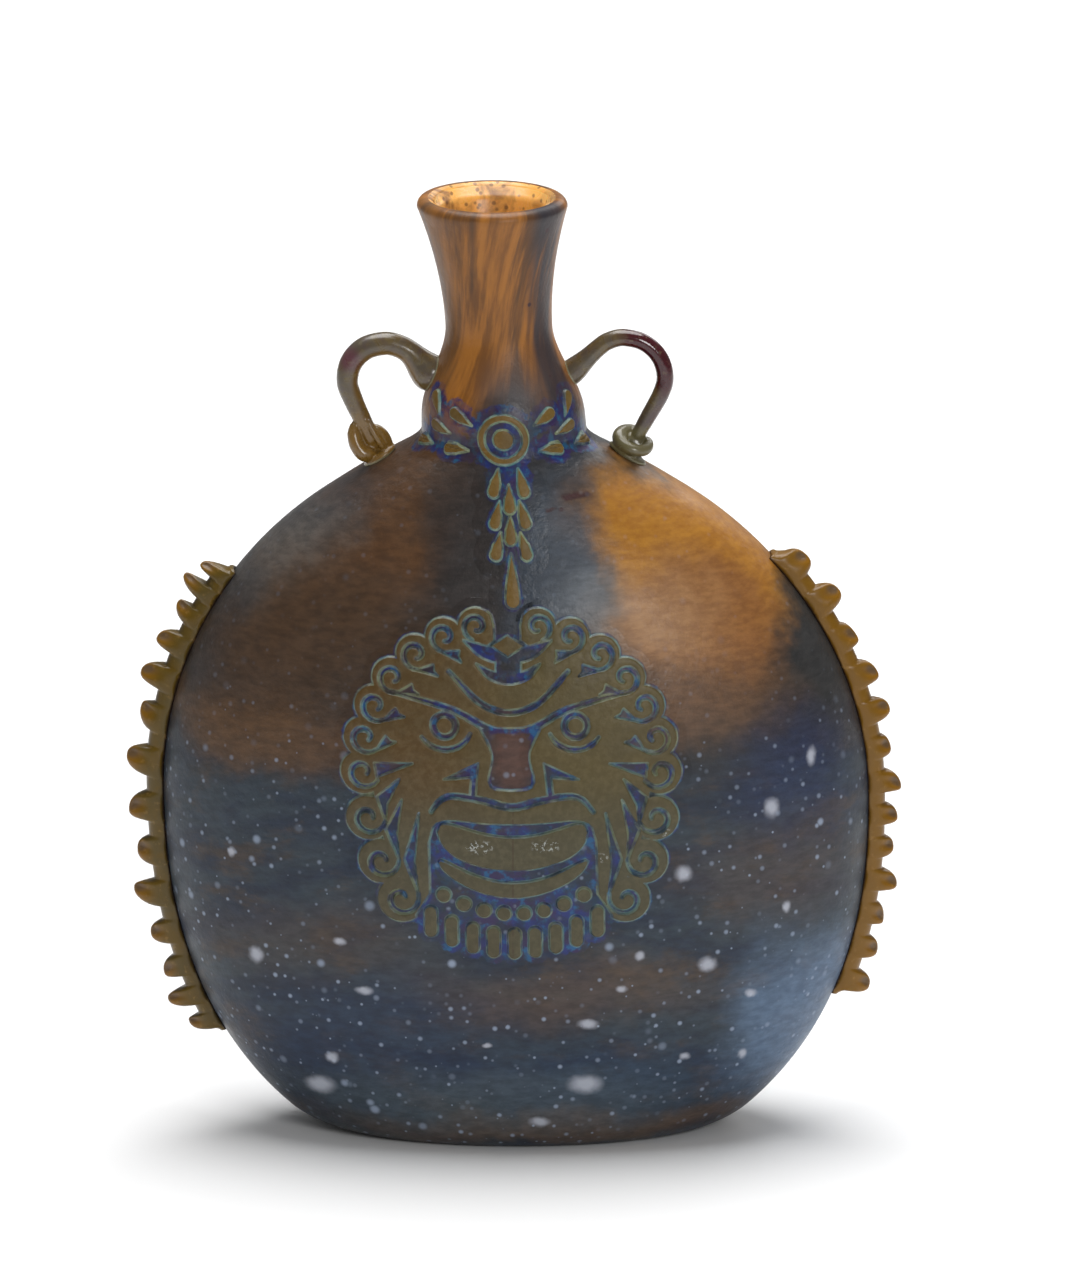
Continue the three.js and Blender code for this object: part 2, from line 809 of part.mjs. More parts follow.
function maskField() {
  const turns = spaced(0, 2 * Math.PI, 32).slice(0, -1);
  let field = faceOutline(outline(turns.map((turn) => ringPoint(turn, fieldShare))));
  for (let k = 0; k < curlsPerSide; k++) {
    const volute = faceOutline(disc(...curlCentre(k), curlSize(k), 13));
    field = field.add(volute).add(mirroredSolid(volute));
  }
  for (const cut of sideCuts().map(faceOutline)) field = field.subtract(cut).subtract(mirroredSolid(cut));
  for (const cut of middleCuts()) field = field.subtract(faceOutline(cut));
  return field.subtract(faceOutline(mouthOpening())).intersect(overlay);
}

function addIsland(name, solid) {
  addMesh(name, lean(toGeometry(solid)), olive);
}

function addFace(name, shape) {
  addIsland(name, faceOutline(shape).intersect(overlay));
}

function addMask() {
  addIsland('mask_field', maskField());
  addFace('mask_forehead_diamond', lozenge(0));
  addFace('mask_pupil_left', disc(-eyeSpread, eyeLift, pupilRadius, 12));
  addFace('mask_pupil_right', disc(eyeSpread, eyeLift, pupilRadius, 12));
  addFace('mask_tongue', hangingBand(tongueLevel, tongueHeight, tongueSag, 8));
  addFace('mask_lower_lip', hangingBand(lowerLipLevel, lowerLipHeight, lowerLipSag, 8));
}

// Beads and tabs hang under the mouth on a curve that dips in the middle
function addFringe() {
  const middle = (count) => (count - 1) / 2;
  for (let i = 0; i < beadCount; i++) {
    const x = (i - middle(beadCount)) * beadPitch;
    addFace(`mask_bead_${i + 1}`, disc(x, beadLevel + beadCurve * x * x, beadRadius, 12));
  }
  for (let i = 0; i < tabCount; i++) {
    const x = (i - middle(tabCount)) * tabPitch;
    const y = tabLevel + tabCurve * x * x;
    const half = tabWidth / 2;
    const straight = tabHeight / 2 - half;
    const upper = arcPoints(x, y + straight, half, 0, 180, 5);
    const lower = arcPoints(x, y - straight, half, 180, 360, 5);
    addFace(`mask_tab_${i + 1}`, outline([...upper, ...lower]));
  }
}

function addPendant() {
  const up = Math.PI / 2;
  const top = rosetteHeight - rosetteRadius - petalGap;
  const room = top - (maskHeight + diamondLift + diamondHeight / 2 + pendantClearance);
  const pitch = room * pendantPitchShare;
  const length = pitch - petalGap / 2;
  const hang = (name, x, z, size, width, tilt) => {
    addIsland(name, frontIsland(teardrop(x + pendantAside, 0, size, width, up + tilt), z));
  };
  for (let row = 0; row < 3; row++) {
    const z = top - length / 2 - pitch * row;
    hang(`pendant_petal_left_${row + 1}`, -pendantSpread, z, length, petalWidth, -pendantTilt);
    hang(`pendant_petal_right_${row + 1}`, pendantSpread, z, length, petalWidth, pendantTilt);
    if (row < 2) hang(`pendant_petal_middle_${row + 1}`, 0, z - pitch / 2, length, petalWidth, 0);
  }
  const drop = room * pendantDropShare;
  hang('pendant_drop', 0, top - room + drop / 2, drop, dropWidth, 0);
}

// Petals round the neck's base on both sides of the rosette, their points towards it
function addGarland() {
  const front = -Math.PI / 2;
  const ring = disc(0, 0, rosetteRadius, 20);
  ring.holes.push(disc(0, 0, rosetteRadius - rosetteBand, 16));
  addIsland('rosette_ring', islandAt(ring, front, rosetteHeight));
  addIsland('rosette_boss', islandAt(disc(0, 0, bossRadius), front, rosetteHeight));
  for (const side of [-1, 1]) {
    const word = side < 0 ? 'left' : 'right';
    garland.forEach(({ turn, rise, tilt }, i) => {
      const point = side < 0 ? 0 : Math.PI;
      const leaning = side * THREE.MathUtils.degToRad(tilt);
      const petal = teardrop(0, 0, petalLength, petalWidth, point + leaning);
      const angle = front + side * THREE.MathUtils.degToRad(turn);
      addIsland(`garland_petal_${word}_${i + 1}`, islandAt(petal, angle, rosetteHeight + rise));
    });
  }
}

addMesh('body', lean(vessel()), smoky);
addMesh('handle_left', lean(toGeometry(leftHandleSolid())), drawn);
addMesh('handle_right', lean(toGeometry(rightHandleSolid())), drawn);
addMesh('crest_left', lean(crestSolid(leftCrest)), ochre);
addMesh('crest_right', lean(crestSolid(rightCrest)), ochre);
addMask();
addFringe();
addPendant();
addGarland();

export default group;
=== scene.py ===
"""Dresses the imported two-handled vase: satin cased glass, drawn handles, pinched crests and cameo relief.

Sizes are in millimetres in the vessel's own frame (foot on z = 0, the mask looks towards -Y) and
become metres when a mesh is written.
"""

import logging
import math
from dataclasses import dataclass, field
from enum import Enum
from typing import Callable, Sequence

import bmesh
import bpy
import numpy as np
from mathutils import Matrix, Vector


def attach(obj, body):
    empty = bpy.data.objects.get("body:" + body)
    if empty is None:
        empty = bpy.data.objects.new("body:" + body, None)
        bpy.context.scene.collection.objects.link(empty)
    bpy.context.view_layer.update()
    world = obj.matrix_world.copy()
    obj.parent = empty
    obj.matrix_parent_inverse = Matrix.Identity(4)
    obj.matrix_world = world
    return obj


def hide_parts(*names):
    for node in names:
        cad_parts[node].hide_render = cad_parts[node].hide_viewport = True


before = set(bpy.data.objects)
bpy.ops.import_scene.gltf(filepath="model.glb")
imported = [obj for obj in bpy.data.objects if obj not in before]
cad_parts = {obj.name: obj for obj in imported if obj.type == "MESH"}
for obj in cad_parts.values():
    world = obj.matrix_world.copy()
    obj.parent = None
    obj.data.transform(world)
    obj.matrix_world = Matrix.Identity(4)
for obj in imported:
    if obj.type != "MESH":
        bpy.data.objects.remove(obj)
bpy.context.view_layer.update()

log = logging.getLogger("vase")
MM = 0.001
ROOT = "root"

Points = np.ndarray
Colour = tuple[float, float, float]
Socket = bpy.types.NodeSocket


def smooth_step(value: np.ndarray) -> np.ndarray:
    """Eases a share from 0 to 1, held at both ends."""
    s = np.clip(value, 0.0, 1.0)
    return s * s * (3.0 - 2.0 * s)


def smooth_max(first: np.ndarray, second: np.ndarray, blend: np.ndarray) -> np.ndarray:
    """Gives the larger of two sizes, filleted where they are nearly alike.

    Args:
        first: One size.
        second: The other size.
        blend: How far apart the two are where the fillet ends.

    Returns:
        The filleted larger size.
    """
    near = np.maximum(blend - np.abs(first - second), 0.0) / blend
    return np.maximum(first, second) + near * near * blend / 4.0


def unit(vectors: np.ndarray) -> np.ndarray:
    """Gives vectors the length 1."""
    return vectors / np.linalg.norm(vectors, axis=-1, keepdims=True)


@dataclass(frozen=True)
class VesselForm:
    """Outer form of the vessel: a bulb pressed flat under a flared neck that drifts to one side."""

    height: float = 240.0
    bulb_width: float = 177.6
    bulb_depth: float = 84.0
    belt_height: float = 88.0
    bulb_top: float = 178.0
    bulb_sunk: float = 13.0
    belly_fullness: float = 2.3
    shoulder_fullness: float = 1.95
    shoulder_blend: float = 26.0
    foot_round: float = 6.0
    neck_base_width: float = 41.0
    neck_base_height: float = 184.0
    neck_waist_width: float = 26.8
    neck_waist_height: float = 207.0
    lip_width: float = 39.4
    lip_flare: float = 1.9
    wall: float = 4.6
    floor_thickness: float = 7.0
    lip_drift: float = 6.9
    corner_round: float = 2.2
    corner_fade: float = 5.0
    corner_samples: tuple[float, ...] = (-1.0, -0.6, -0.2, 0.2, 0.6, 1.0)
    fillet_fade: float = 26.0
    fillet_least: float = 1.0
    ripple: float = 0.16
    ripples: tuple[tuple[float, float, float], ...] = ((3, 17.0, 0.0), (5, -11.0, 1.3), (2, 29.0, 4.0))
    ripple_fade: float = 12.0
    ripple_neck: float = 0.6
    ripple_neck_height: float = 180.0
    search: tuple[float, float] = (-60.0, 30.0)
    search_steps: int = 34

    def bulb_share(self, z: np.ndarray) -> np.ndarray:
        """Gives the share of the bulb's greatest half size left at a height."""
        below = z < self.belt_height
        reach = np.where(below, self.belt_height + self.bulb_sunk, self.bulb_top - self.belt_height)
        fullness = np.where(below, self.belly_fullness, self.shoulder_fullness)
        t = np.minimum(np.abs(z - self.belt_height) / reach, 1.0)
        return (1.0 - t**fullness) ** (1.0 / fullness)

    def neck_radius(self, z: np.ndarray) -> np.ndarray:
        """Gives the neck's radius at a height, from its spread base over the waist to the flared lip."""
        waist = self.neck_waist_width / 2.0
        up = np.clip((z - self.neck_waist_height) / (self.height - self.neck_waist_height), 0.0, None)
        down = (self.neck_waist_height - z) / (self.neck_waist_height - self.neck_base_height)
        flare = (self.lip_width / 2.0 - waist) * up**self.lip_flare
        spread = (self.neck_base_width / 2.0 - waist) * smooth_step(down)
        return waist + np.where(z > self.neck_waist_height, flare, spread)

    def foot_loss(self, z: np.ndarray) -> np.ndarray:
        """Gives how much the rounded foot takes off the half sizes."""
        t = np.clip(1.0 - z / self.foot_round, 0.0, 1.0)
        return self.foot_round * (1.0 - np.sqrt(1.0 - t * t))

    def half_size(self, z: np.ndarray, bulb_half: float) -> np.ndarray:
        """Gives the half width or half depth at a height, the corner under the neck rounded off.

        Args:
            z: Heights.
            bulb_half: Greatest half size of the bulb.

        Returns:
            Half sizes, as the mean of a few heights near each one where the corner is.
        """
        z = np.asarray(z, float)
        spread = self.corner_round * smooth_step(1.5 - np.abs(z - self.bulb_top) / self.corner_fade)
        total = 0.0
        for share in self.corner_samples:
            near = z + share * spread
            fade = smooth_step((self.bulb_top + self.fillet_fade - near) / self.fillet_fade)
            blend = self.fillet_least + (self.shoulder_blend - self.fillet_least) * fade
            total = total + smooth_max(bulb_half * self.bulb_share(near), self.neck_radius(near), blend)
        return total / len(self.corner_samples) - self.foot_loss(z)

    def half_width(self, z: np.ndarray) -> np.ndarray:
        """Gives half the width at a height."""
        return self.half_size(z, self.bulb_width / 2.0)

    def half_depth(self, z: np.ndarray) -> np.ndarray:
        """Gives half the depth at a height."""
        return self.half_size(z, self.bulb_depth / 2.0)

    def normal(self, angle: np.ndarray, z: np.ndarray) -> Points:
        """Gives the outward direction of the skin at angles and heights."""
        step = 0.02
        low = np.maximum(z - step, 0.0)
        w, d = self.half_width(z), self.half_depth(z)
        w_slope = (self.half_width(z + step) - self.half_width(low)) / (2.0 * step)
        d_slope = (self.half_depth(z + step) - self.half_depth(low)) / (2.0 * step)
        c, s = np.cos(angle), np.sin(angle)
        rise = -(c * c * w_slope / w + s * s * d_slope / d)
        return unit(np.stack([c / w, s / d, rise], axis=-1))

    def skin(self, angle: np.ndarray, z: np.ndarray, lift: np.ndarray = 0.0) -> Points:
        """Gives points on the skin, or lifted off it.

        Args:
            angle: Directions round the upright axis in radians, 0 towards +X.
            z: Heights.
            lift: Distances along the outward direction.

        Returns:
            One point for each angle and height.
        """
        angle, z, lift = np.broadcast_arrays(*(np.asarray(v, float) for v in (angle, z, lift)))
        flat = [self.half_width(z) * np.cos(angle), self.half_depth(z) * np.sin(angle), z]
        return np.stack(flat, axis=-1) + lift[..., None] * self.normal(angle, z)

    def blown(self, angle: np.ndarray, z: np.ndarray, lift: np.ndarray = 0.0) -> Points:
        """Gives points over the hand-blown skin, whose shallow hollows are never proud of the true form.

        Args:
            angle: Directions round the upright axis in radians.
            z: Heights.
            lift: Distances over the blown skin.

        Returns:
            One point for each angle and height.
        """
        wave = sum(np.sin(count * angle + z / pitch + shift) for count, pitch, shift in self.ripples)
        calm = self.ripple_neck * smooth_step((z - self.ripple_neck_height) / self.ripple_fade)
        fade = np.minimum(1.0, z / self.ripple_fade) * (1.0 - calm)
        return self.skin(angle, z, lift - self.ripple * (0.5 + wave / (2.0 * len(self.ripples))) * fade)

    def onto(self, points: Points, out: np.ndarray) -> tuple[np.ndarray, np.ndarray]:
        """Slides points along one direction until they lie on the skin.

        Args:
            points: Points near the skin.
            out: The outward direction that they slide along.

        Returns:
            The angles and heights of the places that they reach.
        """
        low, high = (np.full(len(points), end) for end in self.search)
        for _ in range(self.search_steps):
            middle = (low + high) / 2.0
            p = points + middle[:, None] * out
            w, d = self.half_width(p[:, 2]), self.half_depth(p[:, 2])
            outside = (p[:, 0] / w) ** 2 + (p[:, 1] / d) ** 2 > 1.0
            high, low = np.where(outside, middle, high), np.where(outside, low, middle)
        p = points + ((low + high) / 2.0)[:, None] * out
        w, d = self.half_width(p[:, 2]), self.half_depth(p[:, 2])
        return np.arctan2(p[:, 1] / d, p[:, 0] / w), p[:, 2]

    def leant(self, points: Points) -> Points:
        """Lets the upright form drift to the left as it rises, the foot staying in place."""
        moved = np.array(points, float)
        moved[..., 0] -= self.lip_drift * (moved[..., 2] / self.height) ** 2
        return moved


def set_points(mesh: bmesh.types.BMesh, points: Points) -> None:
    """Moves every vertex of a mesh under work to its place, given in millimetres."""
    for vertex, point in zip(mesh.verts, (np.asarray(points) * MM).tolist()):
        vertex.co = point


def mark(mesh: bmesh.types.BMesh, key: str, values: np.ndarray) -> None:
    """Stores one number for each vertex of a mesh under work, for its material to read."""
    layer = mesh.verts.layers.float.new(key)
    for vertex, value in zip(mesh.verts, values.tolist()):
        vertex[layer] = value


def finished(mesh: bmesh.types.BMesh, name: str, weld: float = 1e-6, turn: bool = True) -> bpy.types.Object:
    """Closes the seams of a mesh, turns its faces outwards and makes it an object.

    Args:
        mesh: The mesh under work, which is freed.
        name: The new object's name.
        weld: Distance under which vertices are merged, in metres.
        turn: Whether faces are turned outwards.

    Returns:
        The smooth-shaded object, at the origin.
    """
    bmesh.ops.remove_doubles(mesh, verts=mesh.verts, dist=weld)
    if turn:
        bmesh.ops.recalc_face_normals(mesh, faces=mesh.faces)
    data = bpy.data.meshes.new(name)
    mesh.to_mesh(data)
    mesh.free()
    data.polygons.foreach_set("use_smooth", [True] * len(data.polygons))
    made = bpy.data.objects.new(name, data)
    bpy.context.scene.collection.objects.link(made)
    return made


def unit_grid(across: int, along: int) -> tuple[bmesh.types.BMesh, np.ndarray, np.ndarray]:
    """Makes a flat grid to be shaped.

    Args:
        across: Faces across.
        along: Faces along.

    Returns:
        The grid under work, and each vertex's place across and along it, both 0 to 1.
    """
    mesh = bmesh.new()
    bmesh.ops.create_grid(mesh, x_segments=across, y_segments=along, size=0.5)
    flat = np.array([vertex.co[:2] for vertex in mesh.verts]) + 0.5
    return mesh, flat[:, 0], flat[:, 1]


def through(points: Sequence[Sequence[float]], share: np.ndarray) -> Points:
    """Gives places along a smooth curve through a few points, at shares 0 to 1 of its length."""
    p = np.array(points, float)
    p = np.vstack([2 * p[0] - p[1], p, 2 * p[-1] - p[-2]])

    def at(t: np.ndarray) -> Points:
        """Gives the curve's points at its own parameter, one unit for each span."""
        i = np.clip(np.floor(t).astype(int), 0, len(points) - 2)
        f = (t - i)[:, None]
        a, b, c, d = p[i], p[i + 1], p[i + 2], p[i + 3]
        square, cube = 2 * a - 5 * b + 4 * c - d, 3 * b - a - 3 * c + d
        return 0.5 * (2 * b + (c - a) * f + square * f**2 + cube * f**3)

    fine = np.linspace(0, len(points) - 1, 400)
    steps = np.linalg.norm(np.diff(at(fine), axis=0), axis=1)
    length = np.concatenate([[0], np.cumsum(steps)])
    return at(np.interp(share * length[-1], length, fine))


def rod(points: Sequence[Sequence[float]], widths: Sequence[float], sides: int = 28, steps: int = 110,
        flare: float = 0.0) -> bmesh.types.BMesh:
    """Draws a round rod of changing thickness along a curve, closed with rounded ends.

    Args:
        points: A few points on the curve.
        widths: Thicknesses, spread evenly along the curve.
        sides: Faces round the rod.
        steps: Faces along the rod.
        flare: How much the start swells out, as a share of the thickness.

    Returns:
        The closed rod under work.
    """
    flare_middle, flare_reach, least_radius = 3.9, 5.0, 0.4
    mesh, across, along = unit_grid(sides, steps)
    share = np.linspace(0, 1, steps + 1)
    line = through(points, share)
    ahead = unit(np.gradient(line, axis=0))
    side = unit(np.cross(ahead, (0.0, 1.0, 0.0)))
    deep = np.cross(side, ahead)
    radius = np.interp(share, np.linspace(0, 1, len(widths)), widths) / 2.0
    length = np.linalg.norm(np.diff(line, axis=0), axis=1).sum()
    radius = radius * (1.0 + flare * np.exp(-(((share * length - flare_middle) / flare_reach) ** 2)))
    for end in (share, 1.0 - share):
        t = np.clip(end * length / radius.clip(least_radius), 0.0, 1.0)
        radius = radius * np.sqrt(1.0 - (1.0 - t) ** 2)
    i = np.rint(along * steps).astype(int)
    turn = 2.0 * math.pi * across
    ring = np.cos(turn)[:, None] * side[i] + np.sin(turn)[:, None] * deep[i]
    set_points(mesh, line[i] + radius[i][:, None] * ring)
    bmesh.ops.remove_doubles(mesh, verts=mesh.verts, dist=1e-7)
    bmesh.ops.recalc_face_normals(mesh, faces=mesh.faces)
    return mesh


def lump(centre: Sequence[float], sizes: Sequence[float], turn: float = 0.0) -> bmesh.types.BMesh:
    """Makes an egg-shaped lump of glass.

    Args:
        centre: Its middle.
        sizes: Its three diameters.
        turn: How far it is turned about Y, in radians.

    Returns:
        The lump under work.
    """
    mesh = bmesh.new()
    place = Matrix.Translation(Vector(centre) * MM) @ Matrix.Rotation(turn, 4, "Y")
    place = place @ Matrix.Diagonal((*(Vector(sizes) * MM), 1.0))
    bmesh.ops.create_uvsphere(mesh, u_segments=32, v_segments=20, radius=0.5, matrix=place)
    return mesh


def fused(name: str, pieces: Sequence[bmesh.types.BMesh], voxel: float, melt: int) -> bpy.types.Object:
    """Melts closed pieces of glass together into one skin.

    Args:
        name: The object's name.
        pieces: The closed pieces under work, which are freed.
        voxel: Size of the new skin's faces, in millimetres.
        melt: How many times the skin is smoothed.

    Returns:
        The fused object.
    """
    joined = bmesh.new()
    for piece in pieces:
        scrap = bpy.data.meshes.new("scrap")
        piece.to_mesh(scrap)
        joined.from_mesh(scrap)
        piece.free()
        bpy.data.meshes.remove(scrap)
    rough = finished(joined, name, weld=1e-9, turn=False)
    remesh = rough.modifiers.new("fuse", "REMESH")
    remesh.mode, remesh.voxel_size, remesh.use_smooth_shade = "VOXEL", voxel * MM, True
    soften = rough.modifiers.new("melt", "SMOOTH")
    soften.factor, soften.iterations = 0.5, melt
    seen = rough.evaluated_get(bpy.context.evaluated_depsgraph_get())
    skin = bpy.data.meshes.new_from_object(seen)
    skin.name = name
    rough.modifiers.clear()
    rough.data = skin
    skin.polygons.foreach_set("use_smooth", [True] * len(skin.polygons))
    return rough


def dress(piece: bpy.types.Object, finish: bpy.types.Material, nodes: Sequence[str]) -> None:
    """Gives a piece its material, its body and the nodes that it stands for.

    Args:
        piece: The new object.
        finish: Its material.
        nodes: Names of the solids that it replaces.
    """
    piece.data.materials.append(finish)
    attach(piece, ROOT)
    if nodes:
        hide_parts(*nodes)
    log.info("%s: %d faces", piece.name, len(piece.data.polygons))


def linear(colour: Colour) -> tuple[float, float, float, float]:
    """Turns a colour given from 0 to 255, as a colour chart has it, into linear light."""
    lit = [c / 255.0 for c in colour]
    return (*(c / 12.92 if c <= 0.04045 else ((c + 0.055) / 1.055) ** 2.4 for c in lit), 1.0)


class Shader:
    """A short way to write a material's nodes."""

    def __init__(self, name: str) -> None:
        """Starts an empty material with its output."""
        self.material = bpy.data.materials.new(name)
        self.material.use_nodes = True
        self.tree = self.material.node_tree
        self.tree.nodes.clear()
        self.place = self.node("ShaderNodeTexCoord").outputs["Object"]

    def node(self, kind: str, **settings: object) -> bpy.types.Node:
        """Adds a node and sets its properties."""
        made = self.tree.nodes.new(kind)
        for key, value in settings.items():
            setattr(made, key, value)
        return made

    def put(self, socket: Socket, value: object) -> None:
        """Sets a socket to a value, or links it to another node's output."""
        if isinstance(value, Socket):
            self.tree.links.new(value, socket)
        else:
            socket.default_value = value

    def math(self, kind: str, *values: object, clamp: bool = False) -> Socket:
        """Adds a sum, product or other operation on numbers."""
        made = self.node("ShaderNodeMath", operation=kind, use_clamp=clamp)
        for socket, value in zip(made.inputs, values):
            self.put(socket, value)
        return made.outputs[0]

    def times(self, first: object, second: object) -> Socket:
        """Multiplies two numbers."""
        return self.math("MULTIPLY", first, second)

    def vector(self, kind: str, *values: object) -> bpy.types.Node:
        """Adds an operation on vectors."""
        made = self.node("ShaderNodeVectorMath", operation=kind)
        for socket, value in zip(made.inputs, values):
            self.put(socket, value)
        return made

    def mapped(self, scale: Sequence[float], shift: Sequence[float] = (0, 0, 0),
               turn: Sequence[float] = (0, 0, 0), place: object = None) -> Socket:
        """Scales, turns and shifts the pattern's coordinates."""
        made = self.node("ShaderNodeMapping")
        self.put(made.inputs["Vector"], place or self.place)
        self.put(made.inputs["Scale"], tuple(scale))
        self.put(made.inputs["Location"], tuple(shift))
        self.put(made.inputs["Rotation"], tuple(turn))
        return made.outputs[0]

    def noise(self, size: float, detail: float = 4.0, rough: float = 0.55, warp: float = 0.0,
              place: object = None, colour: bool = False) -> Socket:
        """Adds cloudy noise whose main features are a given size in millimetres."""
        made = self.node("ShaderNodeTexNoise")
        self.put(made.inputs["Vector"], place or self.place)
        self.put(made.inputs["Scale"], 1.0 / (size * MM))
        self.put(made.inputs["Detail"], detail)
        self.put(made.inputs["Roughness"], rough)
        self.put(made.inputs["Distortion"], warp)
        return made.outputs["Color" if colour else "Fac"]

    def cells(self, size: float, place: object = None, random: float = 1.0) -> bpy.types.Node:
        """Adds a scatter of cells, each of about a given size in millimetres."""
        made = self.node("ShaderNodeTexVoronoi", feature="F1")
        self.put(made.inputs["Vector"], place or self.place)
        self.put(made.inputs["Scale"], 1.0 / (size * MM))
        self.put(made.inputs["Randomness"], random)
        return made

    def ramp(self, value: object, low: float, high: float, start: float = 0.0, end: float = 1.0,
             smooth: bool = True) -> Socket:
        """Maps a range of a number to another range, held at its ends."""
        made = self.node("ShaderNodeMapRange", clamp=True)
        made.interpolation_type = "SMOOTHSTEP" if smooth else "LINEAR"
        for socket, v in zip(made.inputs, (value, low, high, start, end)):
            self.put(socket, v)
        return made.outputs[0]

    def mix(self, share: object, first: object, second: object, kind: str = "MIX") -> Socket:
        """Mixes two colours."""
        made = self.node("ShaderNodeMix", data_type="RGBA", blend_type=kind)
        self.put(made.inputs["Factor"], share)
        for key, value in ((6, first), (7, second)):
            self.put(made.inputs[key], linear(value) if isinstance(value, tuple) else value)
        return made.outputs[2]

    def part(self, axis: str, place: object = None) -> Socket:
        """Gives one coordinate of the place."""
        made = self.node("ShaderNodeSeparateXYZ")
        self.put(made.inputs[0], place or self.place)
        return made.outputs[axis]

    def attribute(self, name: str) -> Socket:
        """Reads a number stored on the mesh."""
        return self.node("ShaderNodeAttribute", attribute_type="GEOMETRY", attribute_name=name).outputs["Fac"]

    def bump(self, height: object, depth: float, strength: float = 1.0,
             under: object = None) -> Socket:
        """Turns a height pattern into relief of a given depth in millimetres."""
        made = self.node("ShaderNodeBump")
        self.put(made.inputs["Strength"], strength)
        self.put(made.inputs["Distance"], depth * MM)
        self.put(made.inputs["Height"], height)
        if under is not None:
            self.put(made.inputs["Normal"], under)
        return made.outputs[0]

    def glass(self, colour: object, roughness: object, normal: object, coat: float = 0.0,
              coat_roughness: float = 0.1, level: float = 0.5, glow: float = 0.0) -> bpy.types.Material:
        """Ends the material with an opaque glass surface.

        Args:
            colour: Its colour.
            roughness: Its roughness.
            normal: Its relief.
            coat: Weight of a clear skin over it.
            coat_roughness: Roughness of that skin.
            level: Specular level.
            glow: Weight of light that scatters inside it.

        Returns:
            The finished material.
        """
        surface = self.node("ShaderNodeBsdfPrincipled")
        self.put(surface.inputs["Base Color"], linear(colour) if isinstance(colour, tuple) else colour)
        self.put(surface.inputs["Roughness"], roughness)
        self.put(surface.inputs["Normal"], normal)
        self.put(surface.inputs["IOR"], 1.5)
        self.put(surface.inputs["Specular IOR Level"], level)
        self.put(surface.inputs["Coat Weight"], coat)
        self.put(surface.inputs["Coat Roughness"], coat_roughness)
        self.put(surface.inputs["Subsurface Weight"], glow)
        self.put(surface.inputs["Subsurface Radius"], (0.004, 0.0025, 0.0015))
        out = self.node("ShaderNodeOutputMaterial")
        self.put(out.inputs["Surface"], surface.outputs[0])
        return self.material


@dataclass(frozen=True)
class Cloud:
    """A soft patch of colour on the front: middle and half sizes across and up, and turn in degrees."""

    centre: tuple[float, float]
    radii: tuple[float, float]
    colour: Colour
    strength: float = 1.0
    soft: float = 0.35
    turn: float = 0.0
    deep: float = 60.0


@dataclass(frozen=True)
class NeckGlass:
    """Amber streaks that swirl up the neck, smoky slate to one side, brown at the other, with wine flecks and
    a grey sheen painted low on the front.
    """

    amber: Colour = (160, 102, 36)
    honey: Colour = (116, 72, 26)
    bark: Colour = (78, 52, 30)
    slate: Colour = (40, 42, 50)
    brown_edge: Colour = (100, 70, 40)
    smoke_and_sheen: Colour = (68, 70, 74)
    wine: Colour = (56, 30, 36)
    swirl: float = 14.0
    streak_width: float = 0.012
    streak_length: float = 0.09
    slate_turn: float = 0.95
    brown_turn: float = -1.15
    painted_sheen_turn: float = 0.2
    tide: tuple[float, float] = (180.0, 193.0)
    form: VesselForm = VesselForm()

    def beside(self, s: Shader, turn: object, middle: float) -> Socket:
        """Gives how far a place lies round the neck from a direction, in radians."""
        return s.math("ABSOLUTE", s.math("SUBTRACT", turn, middle))

    def over(self, s: Shader, colour: object) -> Socket:
        """Lays the streaks over the colour of the body.

        Args:
            s: The shader.
            colour: The body's colour.

        Returns:
            The colour of body and neck, which meet along a wandering line.
        """
        z = s.part("Z")
        drift = self.form.lip_drift * MM / (self.form.height * MM) ** 2
        lean = s.times(s.times(z, z), drift)
        turn = s.math("ARCTAN2", s.math("ADD", s.part("X"), lean), s.times(s.part("Y"), -1.0))
        swirl = s.math("SUBTRACT", turn, s.times(z, self.swirl))
        ribbon = s.node("ShaderNodeCombineXYZ")
        s.put(ribbon.inputs[0], s.times(swirl, self.streak_width))
        s.put(ribbon.inputs[1], s.times(z, self.streak_length))
        broad = s.noise(7.0, 5, 0.6, warp=0.5, place=ribbon.outputs[0])
        fine = s.noise(1.9, 5, 0.6, place=ribbon.outputs[0])
        amber = s.mix(s.ramp(fine, 0.35, 0.65), self.amber, self.honey)
        amber = s.mix(s.ramp(broad, 0.48, 0.6, 0, 0.85), amber, self.bark)
        dark = s.ramp(self.beside(s, turn, self.slate_turn), 0.46, 0.18, 0.0, 0.9)
        amber = s.mix(s.times(dark, s.ramp(broad, 0.3, 0.44)), amber, self.slate)
        edge = s.ramp(self.beside(s, turn, self.brown_turn), 0.5, 0.1, 0.0, 0.6)
        amber = s.mix(edge, amber, self.brown_edge)
        # painted sheen: a grey reflection painted low on the neck's front, fading towards the sides
        sheen = s.times(s.ramp(z, 0.207, 0.190), s.ramp(self.beside(s, turn, self.painted_sheen_turn), 0.7, 0.2))
        amber = s.mix(s.times(sheen, 0.88), amber, self.smoke_and_sheen)
        fleck = s.ramp(s.cells(6.0).outputs["Distance"], 0.13, 0.08)
        amber = s.mix(s.times(fleck, s.ramp(s.noise(14, 2), 0.56, 0.6)), amber, self.wine)
        wander = s.times(s.math("SUBTRACT", s.noise(16, 4), 0.5), 0.03)
        level = s.math("ADD", z, wander)
        return s.mix(s.ramp(level, *(end * MM for end in self.tide)), colour, amber)


